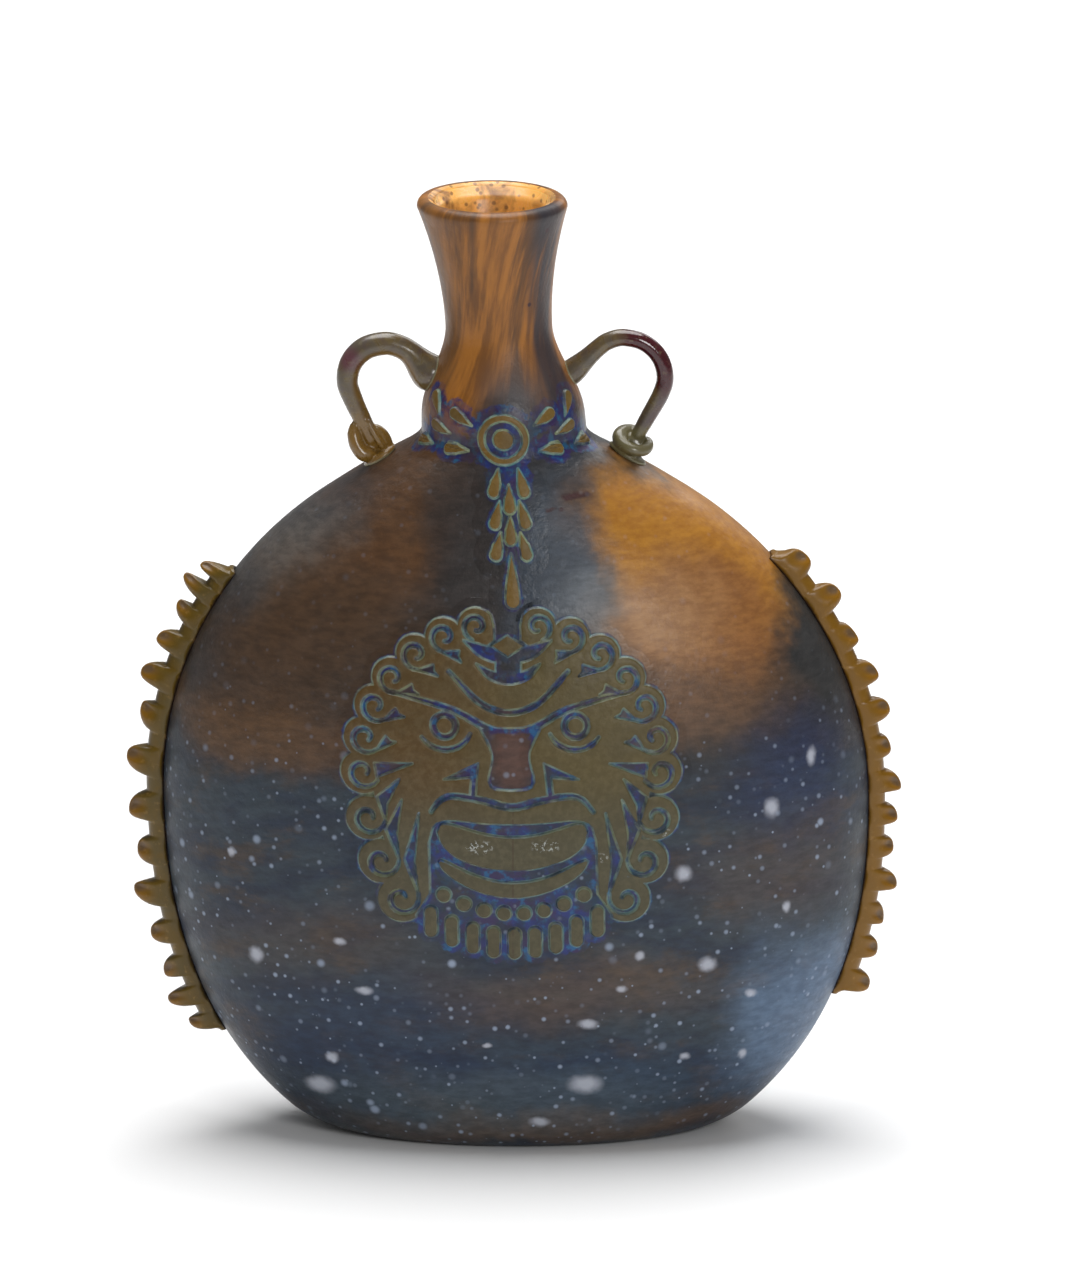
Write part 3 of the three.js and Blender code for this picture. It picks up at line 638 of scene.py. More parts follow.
@dataclass(frozen=True)
class CasedGlass:
    """Satin cased glass: slate blue below and charcoal brown above, clouded with amber, with pale frit."""

    charcoal: Colour = (44, 42, 42)
    warm_charcoal: Colour = (58, 54, 54)
    slate: Colour = (46, 59, 70)
    deep_blue: Colour = (26, 40, 60)
    umber: Colour = (72, 58, 46)
    grain_shade: Colour = (70, 70, 72)
    grain_light: Colour = (190, 186, 184)
    speck: Colour = (150, 164, 186)
    frit_pale: Colour = (186, 190, 202)
    tide_height: float = 101.0
    tide_half: float = 9.0
    roughness: float = 0.42
    front: float = -30.0
    neck: NeckGlass = NeckGlass()

    def clouds(self) -> tuple[Cloud, ...]:
        """Lists the patches, from the first laid to the last; three of them are painted highlights and
        reflections.
        """
        return (
            Cloud((-40, 154), (44, 17), (92, 62, 34), 0.9, 0.35, -52),
            Cloud((-48, 130), (34, 18), (72, 54, 38), 0.8, 0.5),
            Cloud((-60, 108), (34, 8), (98, 70, 42), 0.8, 0.6, 4),
            Cloud((-24, 110), (26, 10), (74, 54, 42), 0.6, 0.6),
            Cloud((-62, 158), (26, 12), (50, 54, 60), 0.8, 0.5, -40),
            Cloud((-14, 160), (9, 20), (50, 44, 42), 0.7, 0.5),
            Cloud((70, 138), (24, 30), (50, 50, 50), 0.8, 0.4),
            Cloud((41, 152), (31, 17), (166, 114, 34), 1.0, 0.2, 36),
            Cloud((45, 133), (21, 19), (142, 96, 50), 0.95, 0.28, 30),
            # painted highlight: a soft peach patch where the key light's sheen falls on the amber shoulder
            Cloud((33, 137), (13, 11), (180, 146, 108), 0.45, 0.95, 30),
            Cloud((44, 116), (22, 9), (96, 72, 52), 0.8, 0.5),
            Cloud((9, 152), (11, 24), (56, 66, 78), 0.9, 0.4, 12),
            Cloud((17, 142), (8, 8), (112, 118, 124), 0.6, 0.7, 20),
            Cloud((-0.8, 106), (6, 11), (92, 64, 54), 0.85, 0.4),
            Cloud((10, 44), (34, 7), (94, 74, 56), 0.55, 0.7),
            Cloud((62, 74), (20, 12), (86, 70, 60), 0.45, 0.7),
            Cloud((-50, 56), (26, 8), (78, 64, 54), 0.45, 0.7),
            Cloud((10, 5), (52, 5), (96, 74, 52), 0.8, 0.5, deep=90),
            # painted reflection: a pale grey sheen along the upper left edge
            Cloud((-57, 152), (14, 7), (112, 106, 98), 0.45, 0.8, -42),
            Cloud((17.4, 170.5), (1.9, 1.1), (58, 26, 34), 0.8, 0.5, 28),
            Cloud((12.4, 167.4), (1.3, 0.7), (62, 30, 32), 0.75, 0.5, 15),
            Cloud((15.2, 166.4), (0.8, 0.6), (62, 30, 32), 0.7, 0.5),
            Cloud((68, 98), (15, 13), (26, 42, 82), 0.6, 0.6),
            Cloud((-35, 31), (30, 14), (30, 52, 84), 0.5, 0.7),
            Cloud((24, 20), (30, 10), (36, 62, 92), 0.5, 0.7),
            # painted reflection: the white floor's pale blue sheen along the lower right edge
            Cloud((70, 30), (14, 24), (96, 120, 148), 0.8, 0.6),
            Cloud((-2, 12), (46, 9), (78, 92, 102), 0.55, 0.6),
        )

    def frit(self) -> tuple[tuple[float, float, float, float], ...]:
        """Lists the large pale grains on the front: place across, height and the two half sizes."""
        return (
            (16.5, 19.0, 5.6, 3.4), (-50.0, 16.0, 5.0, 3.4), (5.0, 8.6, 3.4, 1.9),
            (47.2, 50.0, 3.1, 2.6), (41.0, 74.6, 2.9, 2.9), (63.2, 89.5, 2.5, 3.4),
            (73.2, 101.0, 1.6, 3.3), (17.3, 35.6, 3.3, 1.8), (-66.0, 50.5, 2.4, 3.0),
            (-38.8, 43.6, 2.9, 1.6), (-47.0, 24.3, 2.2, 2.0), (-45.0, 56.4, 2.0, 1.4),
            (30.2, 53.5, 1.8, 1.7), (67.0, 63.0, 1.5, 2.0), (41.5, 25.2, 1.9, 1.4),
            (56.0, 24.0, 1.6, 1.9), (-72.0, 77.0, 1.3, 1.7), (25.6, 45.0, 2.0, 1.2),
            (-8.0, 30.0, 1.6, 1.0), (58.0, 41.0, 1.9, 1.5),
        )

    def speckles(self, s: Shader, size: float, spot: float, rarity: float) -> Socket:
        """Scatters soft specks of glass.

        Args:
            s: The shader.
            size: Size of the cells that hold one speck each, in millimetres.
            spot: Largest radius of a speck, as a share of its cell.
            rarity: Share of the cells that stay empty.

        Returns:
            How strongly a speck shows.
        """
        cell = s.cells(size)
        pick = s.node("ShaderNodeSeparateColor")
        s.put(pick.inputs[0], cell.outputs["Color"])
        present = s.ramp(pick.outputs[0], rarity, rarity + 0.02)
        radius = s.ramp(pick.outputs[1], 0.0, 1.0, spot * 0.35, spot)
        near = s.math("DIVIDE", cell.outputs["Distance"], radius)
        dot = s.ramp(near, 1.0, 0.25)
        tone = s.ramp(pick.outputs[2], 0.0, 1.0, 0.15, 0.8)
        return s.times(s.times(dot, present), tone)

    def write(self, s: Shader) -> tuple[Socket, Socket, Socket]:
        """Writes the glass pattern into a shader.

        Args:
            s: The shader.

        Returns:
            The colour, the roughness and the relief.
        """
        drift = s.vector("SUBTRACT", s.noise(34, 5, 0.6, colour=True), (0.5, 0.5, 0.5)).outputs[0]
        place = s.vector("MULTIPLY_ADD", drift, (0.03,) * 3, s.place).outputs[0]
        height = s.part("Z", place)
        streaked = s.mapped((1.0, 1.0, 2.6), turn=(0, 0.12, 0))
        grain = s.noise(4.2, 8, 0.62, place=streaked)
        smoke_and_sheen = s.noise(30, 6, 0.6, warp=0.4, place=streaked)
        lower = s.mix(s.ramp(smoke_and_sheen, 0.4, 0.62), self.slate, self.deep_blue)
        earth = s.noise(24, 7, 0.66, place=s.mapped((1, 1, 2.2), (0.4, 0.1, 0.2)))
        lower = s.mix(s.ramp(earth, 0.5, 0.68, 0, 0.75), lower, self.umber)
        upper = s.mix(s.ramp(s.noise(40, 5, 0.6), 0.42, 0.66), self.charcoal, self.warm_charcoal)
        low, high = self.tide_height - self.tide_half, self.tide_height + self.tide_half
        colour = s.mix(s.ramp(height, low * MM, high * MM), lower, upper)
        for cloud in self.clouds():
            patch = s.node("ShaderNodeMapping", vector_type="TEXTURE")
            s.put(patch.inputs["Vector"], place)
            s.put(patch.inputs["Location"], (cloud.centre[0] * MM, self.front * MM, cloud.centre[1] * MM))
            s.put(patch.inputs["Rotation"], (0.0, math.radians(cloud.turn), 0.0))
            s.put(patch.inputs["Scale"], (cloud.radii[0] * MM, cloud.deep * MM, cloud.radii[1] * MM))
            reach = s.vector("LENGTH", patch.outputs[0]).outputs["Value"]
            share = s.ramp(reach, 1.0 + cloud.soft, 1.0 - cloud.soft, 0.0, cloud.strength)
            colour = s.mix(share, colour, cloud.colour)
        grained = s.mix(s.ramp(grain, 0.3, 0.72), self.grain_shade, self.grain_light)
        colour = s.mix(0.5, colour, grained, "SOFT_LIGHT")
        settled = s.ramp(s.part("Z"), 132 * MM, 78 * MM, 0.12, 1.0)
        dots = s.math("MAXIMUM", self.speckles(s, 6.5, 0.24, 0.25), self.speckles(s, 2.7, 0.34, 0.1))
        dots = s.math("MAXIMUM", dots, self.speckles(s, 12.0, 0.16, 0.35))
        colour = s.mix(s.times(s.times(dots, settled), 0.95), colour, self.speck)
        colour = s.mix(self.grains(s), colour, self.frit_pale)
        colour = self.neck.over(s, colour)
        peel = s.math("ADD", s.noise(1.2, 3, 0.6), s.times(s.noise(4.5, 3, 0.5), 1.6))
        rough = s.ramp(s.noise(9, 4, 0.6), 0.3, 0.7, self.roughness - 0.06, self.roughness + 0.07)
        return colour, rough, s.bump(peel, 0.16, 0.65)

    def grains(self, s: Shader) -> Socket:
        """Marks the large pale grains of the front."""
        shown: object = 0.0
        wobble = s.vector("SUBTRACT", s.noise(3.0, 2, colour=True), (0.5, 0.5, 0.5)).outputs[0]
        place = s.vector("MULTIPLY_ADD", wobble, (0.0014,) * 3, s.place).outputs[0]
        for x, z, across, tall in self.frit():
            away = s.vector("SUBTRACT", place, (x * MM, 0.0, z * MM)).outputs[0]
            away = s.vector("MULTIPLY", away, (1 / (across * MM), 0.0, 1 / (tall * MM))).outputs[0]
            dot = s.ramp(s.vector("LENGTH", away).outputs["Value"], 1.0, 0.2, 0.0, 0.72)
            shown = s.math("MAXIMUM", shown, dot)
        return s.times(shown, s.ramp(s.part("Y"), 0.0, -0.004))

    def body_material(self) -> bpy.types.Material:
        """Makes the vessel's outer glass."""
        s = Shader("satin_cased_glass")
        colour, rough, relief = self.write(s)
        return s.glass(colour, rough, relief, level=0.4)


@dataclass(frozen=True)
class MouthGlass:
    """The inside of the neck: amber casing with brown specks, brightened with painted light shining through,
    with painted shade to the right and below.
    """

    # amber: the casing's own colour, made brighter as painted light shining through the thin glass
    amber: Colour = (238, 178, 92)
    brown: Colour = (142, 96, 50)
    speck: Colour = (96, 62, 38)
    shade: Colour = (84, 80, 78)
    depth: Colour = (96, 62, 34)

    def material(self) -> bpy.types.Material:
        """Makes the inner glass."""
        s = Shader("mouth_amber_casing")
        cloud = s.noise(9, 5, 0.6, warp=0.6)
        colour = s.mix(s.ramp(cloud, 0.45, 0.68), self.amber, self.brown)
        colour = s.mix(s.ramp(s.cells(2.6).outputs["Distance"], 0.28, 0.12, 0, 0.7), colour, self.speck)
        # painted shade: darker on the inner wall's right side and deeper down the neck
        colour = s.mix(s.ramp(s.part("X"), 0.0045, 0.011, 0.0, 0.7), colour, self.shade)
        colour = s.mix(s.ramp(s.part("Z"), 0.236, 0.20), colour, self.depth)
        return s.glass(colour, s.ramp(cloud, 0.3, 0.7, 0.22, 0.38), s.bump(cloud, 0.3, 0.5), glow=0.5)


@dataclass(frozen=True)
class CameoGlass:
    """Olive overlay left standing on the cased glass, its edges enamelled turquoise over cobalt."""

    olive: Colour = (78, 66, 30)
    brown: Colour = (78, 56, 20)
    grey: Colour = (68, 65, 47)
    turquoise: Colour = (92, 128, 132)
    pale_edge: Colour = (116, 122, 96)
    frost: Colour = (150, 166, 156)
    olive_edge: Colour = (128, 132, 92)
    cobalt: Colour = (34, 46, 108)
    violet: Colour = (50, 38, 78)
    teal: Colour = (30, 92, 136)
    gilt: Colour = (116, 84, 18)
    bloom: Colour = (190, 180, 140)
    stain: Colour = (66, 58, 34)
    crack: Colour = (58, 34, 24)
    # painted highlight: the pale colour of broken flakes of reflected light on the mouth, and where they lie
    flake_highlight: Colour = (168, 172, 168)
    flake_highlight_places: tuple[tuple[float, float, float], ...] = (
        (-10.0, 83.0, 4.5), (6.6, 83.4, 4.5), (20.0, 80.0, 3.0), (35.5, 86.0, 3.0))
    crack_aside: float = -1.6
    line: float = 0.28
    line_strength: float = 0.8
    halo: float = 2.2
    golden: float = 0.0
    cover: float = 0.15
    ground: CasedGlass = CasedGlass()

    def overlay(self, s: Shader) -> Socket:
        """Writes the olive of the standing glass, with a few flaked highlights painted on the mouth."""
        side = s.math("ADD", s.part("X"), s.times(s.math("SUBTRACT", s.noise(16, 4), 0.5), 0.05))
        olive = s.mix(s.ramp(side, -0.03, 0.012), self.brown, self.olive)
        olive = s.mix(s.ramp(s.part("Z"), 0.104, 0.082, 0, 0.85), olive, self.grey)
        olive = s.mix(self.golden, olive, self.gilt)
        olive = s.mix(s.ramp(s.noise(1.6, 5, 0.6), 0.35, 0.7), olive, s.mix(0.06, olive, self.bloom))
        olive = s.mix(s.ramp(s.noise(14, 4, 0.6), 0.4, 0.65, 0, 0.35), olive, self.stain)
        aside = s.math("ABSOLUTE", s.math("SUBTRACT", s.part("X"), self.crack_aside * MM))
        crack = s.times(s.ramp(aside, 0.0003, 0.0001, 0.0, 0.45), s.ramp(s.part("Z"), 0.096, 0.094))
        olive = s.mix(s.times(crack, s.ramp(s.noise(3, 2), 0.4, 0.5)), olive, self.crack)
        # painted highlight: pale flakes of reflected light, shown only near the listed places
        highlight_flake_mask = s.ramp(s.noise(0.9, 3, 0.7), 0.56, 0.6, 0.0, 0.9)
        highlight_flake_spots: object = 0.0
        for x, z, reach in self.flake_highlight_places:
            away = s.vector("SUBTRACT", s.place, (x * MM, 0.0, z * MM)).outputs[0]
            away = s.vector("MULTIPLY", away, (1 / (reach * MM), 0.0, 2 / (reach * MM))).outputs[0]
            highlight_flake_spots = s.math("MAXIMUM", highlight_flake_spots, s.ramp(s.vector("LENGTH", away).outputs["Value"], 1.0, 0.4))
        return s.mix(s.times(highlight_flake_mask, highlight_flake_spots), olive, self.flake_highlight)

    def material(self, name: str) -> bpy.types.Material:
        """Makes the relief's glass.

        Args:
            name: The material's name.

        Returns:
            The material. It reads from the mesh how far a place is inside the relief's edge, and how
            far the enamel reaches there.
        """
        s = Shader(name)
        glass, _, peel = self.ground.write(s)
        waver = s.times(s.math("SUBTRACT", s.noise(1.6, 3), 0.5), 0.3)
        edge = s.math("ADD", s.attribute("edge"), waver)
        line = s.mix(s.ramp(s.noise(13, 3), 0.42, 0.6), self.turquoise, self.pale_edge)
        line = s.mix(s.ramp(s.noise(2.2, 4), 0.46, 0.7, 0, 0.6), line, self.frost)
        line = s.mix(s.ramp(edge, -self.line * 0.6, self.line * 0.5, 0, 0.55), line, self.olive_edge)
        ink = s.mix(s.ramp(s.noise(5, 4), 0.44, 0.58), self.cobalt, self.violet)
        pooled = s.noise(2.4, 4, place=s.mapped((1, 1, 1), (0.3, 0.2, 0.1)))
        ink = s.mix(s.ramp(pooled, 0.5, 0.64, 0, 0.85), ink, self.teal)
        reach = s.attribute("reach")
        wander = s.math("SUBTRACT", s.noise(3.2, 4, 0.65), 0.5)
        ragged = s.times(wander, s.times(reach, 1.5))
        spread = s.math("ADD", s.math("ADD", edge, ragged), reach)
        broken = s.noise(5, 4, 0.6, place=s.mapped((1, 1, 1), (0.7, 0.1, 0.5)))
        thin = s.ramp(broken, 0.42, 0.62, self.cover, 0.97)
        colour = s.mix(s.times(s.ramp(spread, -0.35, 0.45), thin), glass, ink)
        on_line = s.times(s.ramp(edge, -self.line * 1.6, -self.line * 0.5),
                         s.ramp(s.noise(4, 3), 0.36, 0.58, self.line_strength * 0.2, self.line_strength))
        colour = s.mix(on_line, colour, line)
        top = s.ramp(edge, self.line * 0.6, self.line * 1.4)
        colour = s.mix(top, colour, self.overlay(s))
        shine = s.ramp(top, 0.0, 1.0, 0.34, 0.42)
        return s.glass(colour, shine, s.bump(s.noise(1.3, 4), 0.05, 0.5, under=peel), level=0.35)


class RodTint(Enum):
    """The two tints that the handles are drawn in."""

    OLIVE = "drawn_olive_rod"
    RUBY = "drawn_olive_and_ruby_rod"


@dataclass(frozen=True)
class DrawnGlass:
    """Drawn rod in olive grey-brown, with lengthwise mottling and, on one handle, a ruby stretch."""

    tint: RodTint
    olive: Colour = (98, 82, 50)
    grey: Colour = (80, 70, 56)
    golden: Colour = (128, 94, 34)
    ruby: Colour = (62, 8, 18)
    plum: Colour = (70, 50, 62)
    violet: Colour = (68, 50, 62)
    violet_left: Colour = (72, 56, 64)
    coil_green: Colour = (104, 98, 64)
    blush: Colour = (92, 44, 62)
    glint: Colour = (140, 130, 96)
    seam_grey: Colour = (142, 140, 112)
    ruby_bend: tuple[float, float] = (0.0271, 0.1936)
    golden_bend: tuple[float, float, float] = (-0.0335, 0.0, 0.1924)
    blush_place: tuple[float, float, float] = (-0.0424, -0.002, 0.1984)
    outer_slope: float = -0.573

    def ruby_stretch(self, s: Shader) -> Socket:
        """Marks the stretch of the bend that turns ruby."""
        x, z = self.ruby_bend
        turn = s.math("ARCTAN2", s.math("SUBTRACT", s.part("Z"), z), s.math("SUBTRACT", s.part("X"), x))
        turn = s.math("ADD", turn, s.times(s.math("SUBTRACT", s.noise(5, 3), 0.5), 0.8))
        over = s.times(s.ramp(turn, 1.95, 1.35), s.ramp(turn, -0.62, -0.25))
        outside = s.vector("DISTANCE", s.place, (x, 0.0, z)).outputs["Value"]
        return s.times(over, s.ramp(outside, 0.0072, 0.0086, 0.7, 1.0))

    def material(self) -> bpy.types.Material:
        """Makes the rod's glass."""
        s = Shader(self.tint.value)
        mottle = s.noise(5, 5, 0.62, warp=0.8)
        colour = s.mix(s.ramp(mottle, 0.36, 0.64), self.olive, self.grey)
        shine = s.ramp(mottle, 0.3, 0.7, 0.22, 0.36)
        low = s.ramp(s.math("ADD", s.part("Z"), s.times(s.noise(9, 3), 0.006)), 0.192, 0.180)
        violet = s.ramp(s.noise(4, 4, place=s.mapped((1, 1, 1), (0.1, 0.2, 0.3))), 0.5, 0.66, 0, 0.55)
        if self.tint is RodTint.RUBY:
            slanted = s.math("ADD", s.part("X"), s.times(s.part("Z"), self.outer_slope))
            outer = s.ramp(slanted, -0.0737, -0.0721)
            outer = s.times(outer, s.ramp(s.part("Z"), 0.192, 0.188))
            colour = s.mix(s.times(outer, 0.6), colour, self.plum)
            colour = s.mix(s.times(violet, 0.45), colour, self.violet)
            coil = s.ramp(s.part("Z"), 0.182, 0.1795)
            colour = s.mix(s.times(coil, 0.8), colour, self.coil_green)
            red = self.ruby_stretch(s)
            colour = s.mix(red, colour, self.ruby)
            shine = s.ramp(red, 0.0, 1.0, shine, 0.14)
        else:
            colour = s.mix(s.times(violet, 0.7), colour, self.violet_left)
            bend = s.vector("DISTANCE", s.place, self.golden_bend).outputs["Value"]
            inner = s.ramp(bend, 0.0098, 0.0076)
            colour = s.mix(s.times(inner, 0.6), colour, self.golden)
            colour = s.mix(s.times(low, 0.85), colour, self.golden)
            away = s.vector("DISTANCE", s.place, self.blush_place).outputs["Value"]
            colour = s.mix(s.ramp(away, 0.0044, 0.001, 0, 0.75), colour, self.blush)
        # painted glints: small pale highlights scattered by noise
        colour = s.mix(s.ramp(s.noise(1.4, 4, 0.6), 0.55, 0.75, 0, 0.3), colour, self.glint)
        colour = s.mix(s.ramp(s.attribute("seam"), 0.3, 0.8, 0, 0.8), colour, self.seam_grey)
        relief = s.bump(s.math("ADD", s.noise(2.6, 3), mottle), 0.22, 0.4)
        return s.glass(colour, shine, relief, coat=0.35, coat_roughness=0.12)


@dataclass(frozen=True)
class PinchedGlass:
    """Mustard and ochre trail, honey gold at its tips (partly its own colour, partly a painted rim
    highlight), taupe in the scoops and dark along the seam, with painted glints.
    """

    mustard: Colour = (92, 70, 10)
    moss: Colour = (84, 68, 24)
    honey: Colour = (134, 90, 8)
    taupe: Colour = (92, 72, 50)
    dark_seam: Colour = (34, 24, 26)
    glint: Colour = (168, 130, 70)

    def material(self) -> bpy.types.Material:
        """Makes the crest's glass."""
        s = Shader("pinched_mustard_trail")
        cloud = s.noise(8, 5, 0.6, warp=0.5)
        colour = s.mix(s.ramp(cloud, 0.38, 0.62), self.mustard, self.moss)
        right = s.ramp(s.part("X"), -0.01, 0.01, 0.0, 0.6)
        colour = s.mix(right, colour, self.honey)
        # the tips' honey gold is partly the thicker glass's own colour and partly a painted rim highlight
        colour = s.mix(s.ramp(s.attribute("tip"), 0.4, 0.95, 0, 0.75), colour, self.honey)
        colour = s.mix(s.ramp(s.attribute("scoop"), 0.2, 0.75, 0, 0.9), colour, self.taupe)
        seam = s.ramp(s.attribute("seam"), 0.4, 0.9, 0, 0.92)
        colour = s.mix(seam, colour, self.dark_seam)
        # painted glints: small pale highlights scattered by noise
        colour = s.mix(s.ramp(s.noise(1.6, 4), 0.56, 0.78, 0, 0.35), colour, self.glint)
        relief = s.bump(s.math("ADD", s.noise(2.2, 3), cloud), 0.22, 0.4)
        shine = s.ramp(cloud, 0.3, 0.7, 0.28, 0.4)
        return s.glass(colour, shine, relief, coat=0.12, coat_roughness=0.15, level=0.3)


@dataclass
class Body:
    """The hollow vessel, spun as one profile and pressed flat."""

    form: VesselForm
    glass: CasedGlass = CasedGlass()
    mouth: MouthGlass = MouthGlass()
    around: int = 208
    foot_rings: int = 12
    side_rings: int = 190
    corner_rings: int = 60
    inner_rings: int = 70

    def levels(self) -> np.ndarray:
        """Gives the heights of the rings up the outside."""
        f = self.form
        foot = f.foot_round * (1.0 - np.cos(np.linspace(0, math.pi / 2, self.foot_rings)))
        rest = np.linspace(f.foot_round, f.height - f.wall / 2, self.side_rings)[1:]
        corner = np.linspace(f.bulb_top - 6, f.bulb_top + 4, self.corner_rings)
        return np.unique(np.round(np.concatenate([foot, rest, corner]), 3))

    def rings(self) -> tuple[list[Callable[[np.ndarray], Points]], int]:
        """Lists the rings from the foot's middle over the lip to the floor's middle.

        Returns:
            One function of the angle for each ring, and the first ring that faces inwards.
        """
        f, made = self.form, []
        made.append(lambda a: np.zeros((len(a), 3)))
        for z in self.levels():
            made.append(lambda a, z=z: f.blown(a, z))
        centre = float(f.neck_radius(np.array(f.height - f.wall / 2))) - f.wall / 2
        for turn in np.radians(np.arange(15, 180, 15)):
            r = centre + f.wall / 2 * math.cos(turn)
            z = f.height - f.wall / 2 + f.wall / 2 * math.sin(turn)
            made.append(lambda a, r=r, z=z: np.stack([r * np.cos(a), r * np.sin(a), np.full(len(a), z)], -1))
        inner = len(made) - 5
        for z in np.linspace(f.height - f.wall / 2, f.foot_round + 2, self.inner_rings):
            made.append(lambda a, z=z: f.skin(a, z, -f.wall))
        floor = f.floor_thickness
        made.append(lambda a: f.skin(a, f.foot_round, -f.wall) * (0.86, 0.86, 0) + (0, 0, floor + 0.3))
        made.append(lambda a: np.zeros((len(a), 3)) + (0, 0, floor))
        return made, inner

    def build(self) -> bpy.types.Object:
        """Spins, presses and leans the vessel."""
        rings, inner = self.rings()
        mesh = bmesh.new()
        line = [mesh.verts.new((1.0, 0.0, float(i))) for i in range(len(rings))]
        edges = [mesh.edges.new(pair) for pair in zip(line, line[1:])]
        bmesh.ops.spin(mesh, geom=line + edges, cent=(0, 0, 0), axis=(0, 0, 1), dvec=(0, 0, 0),
                       angle=2 * math.pi, steps=self.around, use_merge=True, use_duplicate=False)
        for face in mesh.faces:
            face.material_index = int(min(v.co.z for v in face.verts) > inner - 0.5)
        co = np.array([v.co[:] for v in mesh.verts])
        which, angle = np.rint(co[:, 2]).astype(int), np.arctan2(co[:, 1], co[:, 0])
        points = np.zeros_like(co)
        for i, ring in enumerate(rings):
            points[which == i] = ring(angle[which == i])
        set_points(mesh, self.form.leant(points))
        body = finished(mesh, "vessel_body")
        dress(body, self.glass.body_material(), ["body"])
        body.data.materials.append(self.mouth.material())
        return body


@dataclass(frozen=True)
class HandleSpec:
    """Sizes of one drawn handle: its side, its rod's thicknesses from pad to end, and where it runs."""

    side: int
    widths: tuple[float, ...]
    flare: float
    pad_height: float
    stand_off: float
    bend_radius: float
    bend_height: float
    seat_height: float


